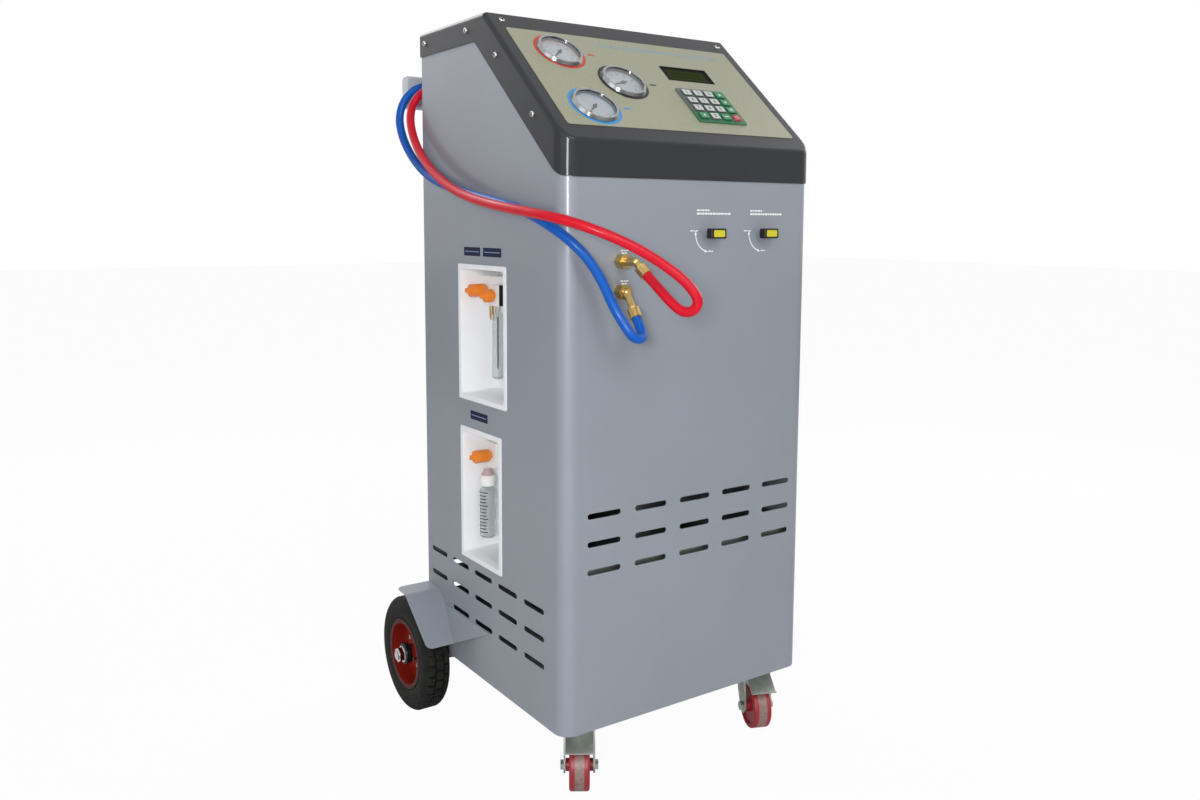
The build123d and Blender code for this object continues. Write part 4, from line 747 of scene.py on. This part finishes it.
# %% Crimped ferrules
def crimp(name, start, toward, radius=0.0098, length=0.014):
    """Ringed brass sleeve from a hose's start back along its fitting."""
    clear_selection()
    bpy.ops.mesh.primitive_cylinder_add(vertices=40, radius=radius, depth=0.002, end_fill_type="NGON")
    piece = bpy.context.object
    steps = 6
    for index in range(steps):
        top = max(vertex.co.z for vertex in piece.data.vertices)
        pick(piece, lambda centre, normal: normal.z > 0.9 and centre.z > top - 0.0001)
        lift(length / steps)
        factor = 0.94 if index % 2 == 0 else 1 / 0.94
        bpy.ops.transform.resize(value=(factor, factor, 1))
        bpy.ops.object.mode_set(mode="OBJECT")
    axis = (Vector(start) - Vector(toward)).normalized()
    side = axis.orthogonal().normalized()
    shifted = Vector(start) + Vector((0, cabinet_middle, 0))
    return settle(piece, name, turned_brass, standing(shifted, side, axis.cross(side)))


crimp("ferrule_red", red_route[0], red_route[1])
crimp("ferrule_blue", blue_route[0], blue_route[1])

# %% [markdown]
# The three gauges. Round each one the console film carries a printed ring: red for the high
# side, black for the cylinder and blue for the low side. Under the lens lies a white dial, drawn
# grey-blue as painted shade under the lens, with a 270 degree scale and plain numbers.

# %% Gauge rings and dials
gauge_colours = {
    "high_pressure": (red_print, 35, 5), "cylinder_pressure": (black_print, 40, 5), "low_pressure": (blue_print, 15, 3),
}
overlay_top = 0.0008
dial_radius = 0.0335
scale_start = radians(225)
scale_sweep = radians(270)


def dial_scale(name, ink, top_number, step):
    """Ticks and numbers of one dial, flat on the local floor."""
    marks = []
    count = top_number // step
    for index in range(count * 5 + 1):
        angle = scale_start - scale_sweep * index / (count * 5)
        long = index % 5 == 0
        tick = plate(0.0044 if long else 0.0026, 0.0008 if long else 0.0005, film, at=(0.0300, 0))
        bpy.ops.mesh.select_all(action="SELECT")
        bpy.ops.transform.rotate(value=-angle, orient_axis="Z", center_override=(0, 0, 0))
        clear_selection()
        marks.append(tick)
        if long:
            spot = (0.0235 * cos(angle), 0.0235 * sin(angle))
            marks.append(words(str(index // 5 * step), 0.0060, spot))
    marks.append(arc_band(0.0323, 0.0009, scale_start - scale_sweep, scale_sweep, film, 60))
    return joined(marks)


for name, (ink, top_number, step) in gauge_colours.items():
    joint = joints["needle_" + name + "_sweep"]
    hub = Vector(joint["pos_m"])
    base = hub.dot(outward)
    film_level = Vector((0, crest, hood_high.z)).dot(outward) + overlay_top
    ring_piece = ring(0.045, 0.0403, film)
    settle(ring_piece, "printed_ring_" + name, ink, on_console(hub, film_level - base))
    card = ring(dial_radius, 0.0012, 0.0002)
    dial_level = -0.0012
    settle(card, "shaded_dial_card_" + name, shaded_dial_card, on_console(hub, dial_level))
    scale_ink = black_print if name == "cylinder_pressure" else ink
    scale = dial_scale(name, scale_ink, top_number, step)
    settle(scale, "dial_scale_" + name, scale_ink, on_console(hub, dial_level + 0.0002))
    label = plate(0.013, 0.0035, film, 0.001, at=(0.060, 0.0))
    settle(label, "gauge_mark_" + name, ink, on_console(hub, film_level - base))
print("gauges", len(gauge_colours))

# %% Line over the display
title_line = print_line(-0.067, -0.063, 0.262, 0.0055)
console_top = Vector((0, crest, hood_high.z)) + outward * overlay_top
settle(joined(title_line), "console_line", pale_blue_print, on_console(console_top))

# %% [markdown]
# The display is a character module behind a window. Its black frame is already there, so the
# olive screen is a thin plate with a bevelled edge, and two faint rows of cells are laid on it.

# %% Display screen
display_top = peak("display_module", outward)
screen = plate(0.078, 0.025, 0.0002, 0.0008)
settle(screen, "display_screen", lcd_olive, on_console(display_top))
cell = plate(0.0028, 0.0066, 0.0001, 0.0003)
clear_selection()
cell_ink = moulded("lcd_cell_ink", "#2A3116", 0.7, bump=0.0, mirror=0.02)
cells = []
for row in (-1, 1):
    for column in range(16):
        spot = Matrix.Translation(((column - 7.5) * 0.0042, row * 0.0048, 0))
        cells.append(copy_of(cell, spot))
bpy.data.objects.remove(cell)
settle(joined(cells), "display_cells", cell_ink, on_console(display_top, 0.0002))

# %% [markdown]
# The keys are moulded silicone with printed signs: digits on the white ones and simple marks on
# the green ones and the red one. Each print rides on its own key, so it moves when the key is
# pressed.

# %% Key prints
def arrow(turn):
    """Triangle mark, pointing up when its turn is zero."""
    clear_selection()
    bpy.ops.mesh.primitive_circle_add(vertices=3, radius=0.0034, fill_type="NGON", rotation=(0, 0, turn))
    piece = bpy.context.object
    bpy.ops.object.mode_set(mode="EDIT")
    bpy.ops.mesh.select_all(action="SELECT")
    lift(film)
    bpy.ops.mesh.select_all(action="SELECT")
    bpy.ops.mesh.normals_make_consistent(inside=False)
    return piece


for digit in range(10):
    key = "key_" + str(digit)
    place = on_console(peak(key, outward), film / 2)
    settle(words(str(digit), 0.0105), "digit_" + str(digit), black_print, place, key)
for name, turn in (("up", 0.0), ("down", pi), ("back", pi / 2)):
    key = "key_" + name
    settle(arrow(turn), "mark_" + name, white_print, on_console(peak(key, outward)), key)
bars = []
for index in (-1, 0, 1):
    bars.append(plate(0.008, 0.001, film, at=(0, index * 0.0024)))
    clear_selection()
settle(joined(bars), "mark_menu", white_print, on_console(peak("key_menu", outward)), "key_menu")
enter_bar = plate(0.009, 0.0016, film, 0.0004)
settle(enter_bar, "mark_enter", white_print, on_console(peak("key_enter", outward)), "key_enter")
stop_ring = ring(0.0034, 0.0028, film, 32)
settle(stop_ring, "mark_stop", white_print, on_console(peak("key_stop", outward)), "key_stop")
print("key prints", 16)

# %% [markdown]
# Screws hold the hood to the cabinet. A pressed cross recess is what makes a dome head read as a
# screw, so one dark cross, painted shade in place of the recess's hollow, is made from a small
# square whose four sides are extruded, and it is copied onto every head.

# %% Cross recesses
def cross_recess(size=0.0011, arm=0.0021):
    """Dark cross, a square with its four edges pulled out."""
    clear_selection()
    bpy.ops.mesh.primitive_cube_add(size=size)
    piece = bpy.context.object
    bpy.ops.object.mode_set(mode="EDIT")
    for direction in ((1, 0), (-1, 0), (0, 1), (0, -1)):
        pick(piece, lambda centre, normal: normal.x * direction[0] + normal.y * direction[1] > 0.9
             and abs(centre.x * direction[0] + centre.y * direction[1] - size / 2) < 0.0001)
        bpy.ops.mesh.extrude_region_move(
            TRANSFORM_OT_translate={"value": (direction[0] * arm, direction[1] * arm, 0)})
    bpy.ops.mesh.select_all(action="SELECT")
    bpy.ops.transform.resize(value=(1, 1, 0.25))
    clear_selection()
    return piece


# Near-black crosses: painted shade for the hollow of each screw recess.
recess_shade = moulded("recess_shadow", "#2A2B2C", 0.6)
pattern = cross_recess()
crosses = []
for side in (-1, 1):
    face_out = Vector((side, 0, 0))
    for spot in peaks("panel_screws", face_out, 0.0004):
        crosses.append(copy_of(pattern, standing(spot, (0, side, 0), (0, 0, 1))))
for spot in peaks("panel_screws", outward, 0.0004):
    crosses.append(copy_of(pattern, standing(spot, (1, 0, 0), uphill)))
bpy.data.objects.remove(pattern)
print("crosses", len(crosses))
settle(joined(crosses), "screw_recesses", recess_shade)

# %% [markdown]
# The front sheet carries two valve handles with yellow inserts, and beside each a printed arc
# with an arrowhead at both ends shows how far it turns. The insert rides on the handle, the
# print on the cabinet.

# %% Valve inserts and arrows
arc_radius = 0.0295
arc_start = radians(180)
arc_end = radians(254)
for side in ("left", "right"):
    joint = joints["valve_handle_" + side + "_turn"]
    x, _, z = joint["pos_m"]
    handle_low, handle_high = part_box("valve_handle_" + side)
    insert = plate(0.0225, 0.0108, 0.0006, 0.0022)
    front_place = standing(((handle_low[0] + handle_high[0]) / 2, handle_low[1], z), (1, 0, 0), (0, 0, 1))
    settle(insert, "valve_insert_" + side, yellow_label_plastic, front_place, "valve_handle_" + side)
    prints = [arc_band(arc_radius, 0.0016, arc_start, arc_end - arc_start, film)]
    clear_selection()
    for angle, facing in ((arc_start, 0.0), (arc_end, arc_end)):
        head = arrow(0.0)
        bpy.ops.mesh.select_all(action="SELECT")
        bpy.ops.transform.resize(value=(0.8, 1.25, 1), center_override=(0, 0, 0))
        bpy.ops.transform.rotate(value=-facing, orient_axis="Z", center_override=(0, 0, 0))
        spot = (arc_radius * cos(angle), arc_radius * sin(angle), 0)
        bpy.ops.transform.translate(value=spot)
        clear_selection()
        prints.append(head)
    prints += print_line(-0.0275, 0.0365, 0.028, 0.0024)
    prints += print_line(-0.0275, 0.0312, 0.072, 0.0030)
    prints += print_line(-arc_radius - 0.0110, 0.0040, 0.017, 0.0018)
    prints += print_line(arc_radius * cos(arc_end) + 0.0055, arc_radius * sin(arc_end), 0.013, 0.0018)
    settle(joined(prints), "valve_print_" + side, white_print, on_front(x, z))

# %% Port marks
marks = []
for height in (0.868, 0.822):
    for row, width in ((0.0, 0.016), (-0.004, 0.012)):
        marks += print_line(-0.140 - width / 2, height + row, width, 0.0020)
settle(joined(marks), "port_print", white_print, on_front(0, 0))

# %% [markdown]
# Three small engraved plates sit above the bottle recesses: dark blue film with one pale line.
# They are bevelled plates on the left side, placed by their edges on the sheet.

# %% Side labels
side_labels = {
    "upper_rear": (0.0485, 0.8605, 0.057), "upper_front": (-0.0205, 0.8605, 0.061), "lower": (0.029, 0.583, 0.060),
}
for name, (along, height, width) in side_labels.items():
    settle(plate(width, 0.0145, 0.0004, 0.0012), "label_" + name, navy_label_film, on_left(along, height))
    settle(plate(width * 0.86, 0.0014, film), "label_line_" + name, pale_label_line,
           on_left(along, height, 0.0004))

# %% [markdown]
# The wide oil bottle carries a printed scale, the slim one a grey dip tube and beside its neck a
# brass barb, and a thin black plate lies on the front face of its head. The scale marks are thin bands spun round the
# bottle's axis, which keeps them on its curved wall. The tube and the barb start as cylinders and get their tip by
# extruding.

# %% Bottle details
def upright(x, y, z):
    """Matrix of a piece that stands at a point of the cabinet."""
    return Matrix.Translation((x, cabinet_middle + y, z))


def graduations(name, x, y, radius, low, high, count):
    """Scale marks round one side of a bottle."""
    rings = []
    for index in range(count):
        sweep = radians(86 if index % 4 == 0 else 62)
        mark = arc_band(radius + 0.0002, 0.0002, pi + radians(20) - sweep / 2, sweep, 0.0016, 8)
        bpy.ops.mesh.select_all(action="SELECT")
        bpy.ops.transform.translate(value=(0, 0, low + (high - low) * index / (count - 1)))
        clear_selection()
        rings.append(mark)
    return settle(joined(rings), name, black_print, upright(x, y, 0))


def rod(name, x, y, foot, head, radius, tip, material, slot):
    """Upright rod whose lower end is drawn to a narrower tip."""
    clear_selection()
    bpy.ops.mesh.primitive_cylinder_add(vertices=24, radius=radius, depth=head - foot,
                                        location=(0, 0, (head + foot) / 2))
    piece = bpy.context.object
    bpy.ops.object.transform_apply(location=True)
    pick(piece, lambda centre, normal: normal.z < -0.9)
    lift(-tip)
    bpy.ops.transform.resize(value=(0.6, 0.6, 1))
    return settle(piece, name, material, upright(x, y, 0))


slim_axis = (-0.221, 0.014)
graduations("bottle_scale", -0.220, 0.056, 0.014, 0.374, 0.444, 13)
rod("slim_dip_tube", *slim_axis, 0.668, 0.752, 0.0018, 0.004, tube_plastic, "bottle_clear")
rod("brass_barb", slim_axis[0] - 0.004, slim_axis[1] + 0.014, 0.752, 0.7698, 0.0036, 0.006, turned_brass,
     "brass_fittings")
# A thin black plate on the front face of the upper bottle head.
head_side = standing((-0.203, cabinet_middle + 0.002, 0.788), (1, 0, 0), (0, 0, 1))
settle(plate(0.044, 0.035, 0.0004, 0.001), "bottle_head_black_plate", black_abs, head_side)
print("bottle details", 4)


# %% [markdown]
# The rear wheels are pneumatic. Besides the tread blocks, which the construction model has, a
# sidewall shows raised rings, and the pressed rim has bolts, a valve stem and a dark bearing cap.

# %% Wheel details
wheel_low, wheel_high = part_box("tyre_left")
axle_y = (wheel_low[1] + wheel_high[1]) / 2
axle_z = (wheel_low[2] + wheel_high[2]) / 2


def torus(major, minor, height):
    """Raised ring at a height on the local floor."""
    clear_selection()
    bpy.ops.mesh.primitive_torus_add(major_radius=major, minor_radius=minor, major_segments=96, minor_segments=8,
                                     location=(0, 0, height))
    bpy.ops.object.transform_apply(location=True, rotation=False, scale=False)
    return bpy.context.object


for side, sign in (("left", -1), ("right", 1)):
    low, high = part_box("tyre_" + side)
    outer_x = low[0] if sign < 0 else high[0]
    hub_place = standing((outer_x, axle_y, axle_z), (0, -sign, 0) if sign < 0 else (0, 1, 0), (0, 0, 1))
    if hub_place.to_3x3().col[2].x * sign < 0:
        hub_place = standing((outer_x, axle_y, axle_z), (0, sign, 0), (0, 0, 1))
    rings = [torus(0.094, 0.0012, -0.0022), torus(0.088, 0.0009, -0.0012), torus(0.0725, 0.0011, -0.0014)]
    settle(joined(rings), "sidewall_rings_" + side, tyre_rubber, hub_place, "rear_wheel_" + side)
    bearing = ring(0.019, 0.0153, 0.010, 48)
    bpy.ops.mesh.select_all(action="SELECT")
    bpy.ops.transform.translate(value=(0, 0, -0.0102))
    settle(bearing, "bearing_cap_" + side, black_abs, hub_place, "rear_wheel_" + side)
    bolts = []
    for index in range(4):
        angle = index * pi / 2 + radians(35)
        clear_selection()
        bpy.ops.mesh.primitive_cylinder_add(vertices=6, radius=0.0048, depth=0.004,
                                            location=(0.0275 * cos(angle), 0.0275 * sin(angle), -0.0225))
        bolt = bpy.context.object
        bpy.ops.object.transform_apply(location=True)
        pick(bolt, lambda centre, normal: normal.z > 0.9)
        bpy.ops.mesh.inset(thickness=0.0008)
        lift(0.0006)
        clear_selection()
        bolts.append(bolt)
    settle(joined(bolts), "rim_bolts_" + side, zinc_plate, hub_place, "rear_wheel_" + side)
    clear_selection()
    bpy.ops.mesh.primitive_cylinder_add(vertices=20, radius=0.0035, depth=0.022,
                                        location=(0.050, 0.008, -0.0130))
    stem = bpy.context.object
    bpy.ops.object.transform_apply(location=True)
    pick(stem, lambda centre, normal: normal.z > 0.9)
    bpy.ops.mesh.inset(thickness=0.0009)
    lift(0.004)
    settle(stem, "valve_stem_" + side, black_abs, hub_place, "rear_wheel_" + side)
print("wheels dressed")

# %% [markdown]
# The floor is a plain pale sheet and the background is white, as in the picture. To the camera
# the floor is mostly white by itself and keeps only a soft shadow, and mirrors and glass are
# shown the same white room, so that metal looks as it does in daylight.

# %% Floor and room
clear_selection()
bpy.ops.mesh.primitive_plane_add(size=40, location=(0, 0, 0))
floor = bpy.context.object
floor.name = "floor"
floor_material, tree, place = open_material("pale_floor")
paths = add(tree, "ShaderNodeLightPath")
matt = add(tree, "ShaderNodeBsdfDiffuse", {"Color": shade("#E8E8E8")})
white = add(tree, "ShaderNodeEmission", {"Color": shade("#FFFFFF"), "Strength": 1.0})
share = add(tree, "ShaderNodeMath", {0: paths.outputs["Is Camera Ray"], 1: 0.96}, operation="MULTIPLY")
close_material(tree, add(tree, "ShaderNodeMixShader", {0: share.outputs["Value"], 1: matt.outputs[0],
                                                       2: white.outputs[0]}))
floor.data.materials.append(floor_material)

world = bpy.data.worlds.new("room")
scene.world = world
world.use_nodes = True
tree = world.node_tree
tree.nodes.clear()
paths = add(tree, "ShaderNodeLightPath")
soft = add(tree, "ShaderNodeBackground", {"Color": shade("#F4F6FA"), "Strength": 0.27})
bright = add(tree, "ShaderNodeBackground", {"Color": shade("#FFFFFF"), "Strength": 1.0})
seen = add(tree, "ShaderNodeMath", {0: paths.outputs["Is Camera Ray"], 1: paths.outputs["Is Transmission Ray"]},
           operation="MAXIMUM")
seen = add(tree, "ShaderNodeMath", {0: seen.outputs["Value"], 1: paths.outputs["Is Glossy Ray"]}, operation="MAXIMUM")
room = add(tree, "ShaderNodeMixShader", {0: seen.outputs["Value"], 1: soft.outputs[0], 2: bright.outputs[0]})
add(tree, "ShaderNodeOutputWorld", {"Surface": room.outputs[0]})


# %% [markdown]
# Soft lamps at a plain level: a large one in front and above, as a studio's key light, a smaller
# one just left of the camera, whose mirror image draws the bright line down the rounded corner,
# and weaker ones at the sides and behind, so that no side of the object is dark.

# %% Lamps
def lamp(name, place, aim, size, power, colour="#FFFFFF"):
    """Square soft lamp that looks at a point."""
    data = bpy.data.lights.new(name, "AREA")
    data.shape = "SQUARE"
    data.size = size
    data.energy = power
    data.color = shade(colour)[:3]
    piece = bpy.data.objects.new(name, data)
    scene.collection.objects.link(piece)
    piece.location = place
    piece.rotation_euler = (Vector(aim) - Vector(place)).to_track_quat("-Z", "Y").to_euler()
    return piece


lamp("key_lamp", (-0.5, -3.0, 2.6), (0, 0, 0.7), 1.6, 40)
lamp("corner_lamp", (-1.75, -2.05, 1.1), (0, 0, 0.65), 0.45, 30)
lamp("side_lamp", (-3.2, -1.2, 1.8), (0, 0, 0.6), 1.4, 6)
lamp("right_lamp", (3.0, 0.6, 2.0), (0, 0, 0.6), 1.6, 45)
lamp("rear_lamp", (-0.4, 3.2, 2.4), (0, 0, 0.7), 1.6, 45)
print("lamps", 5)
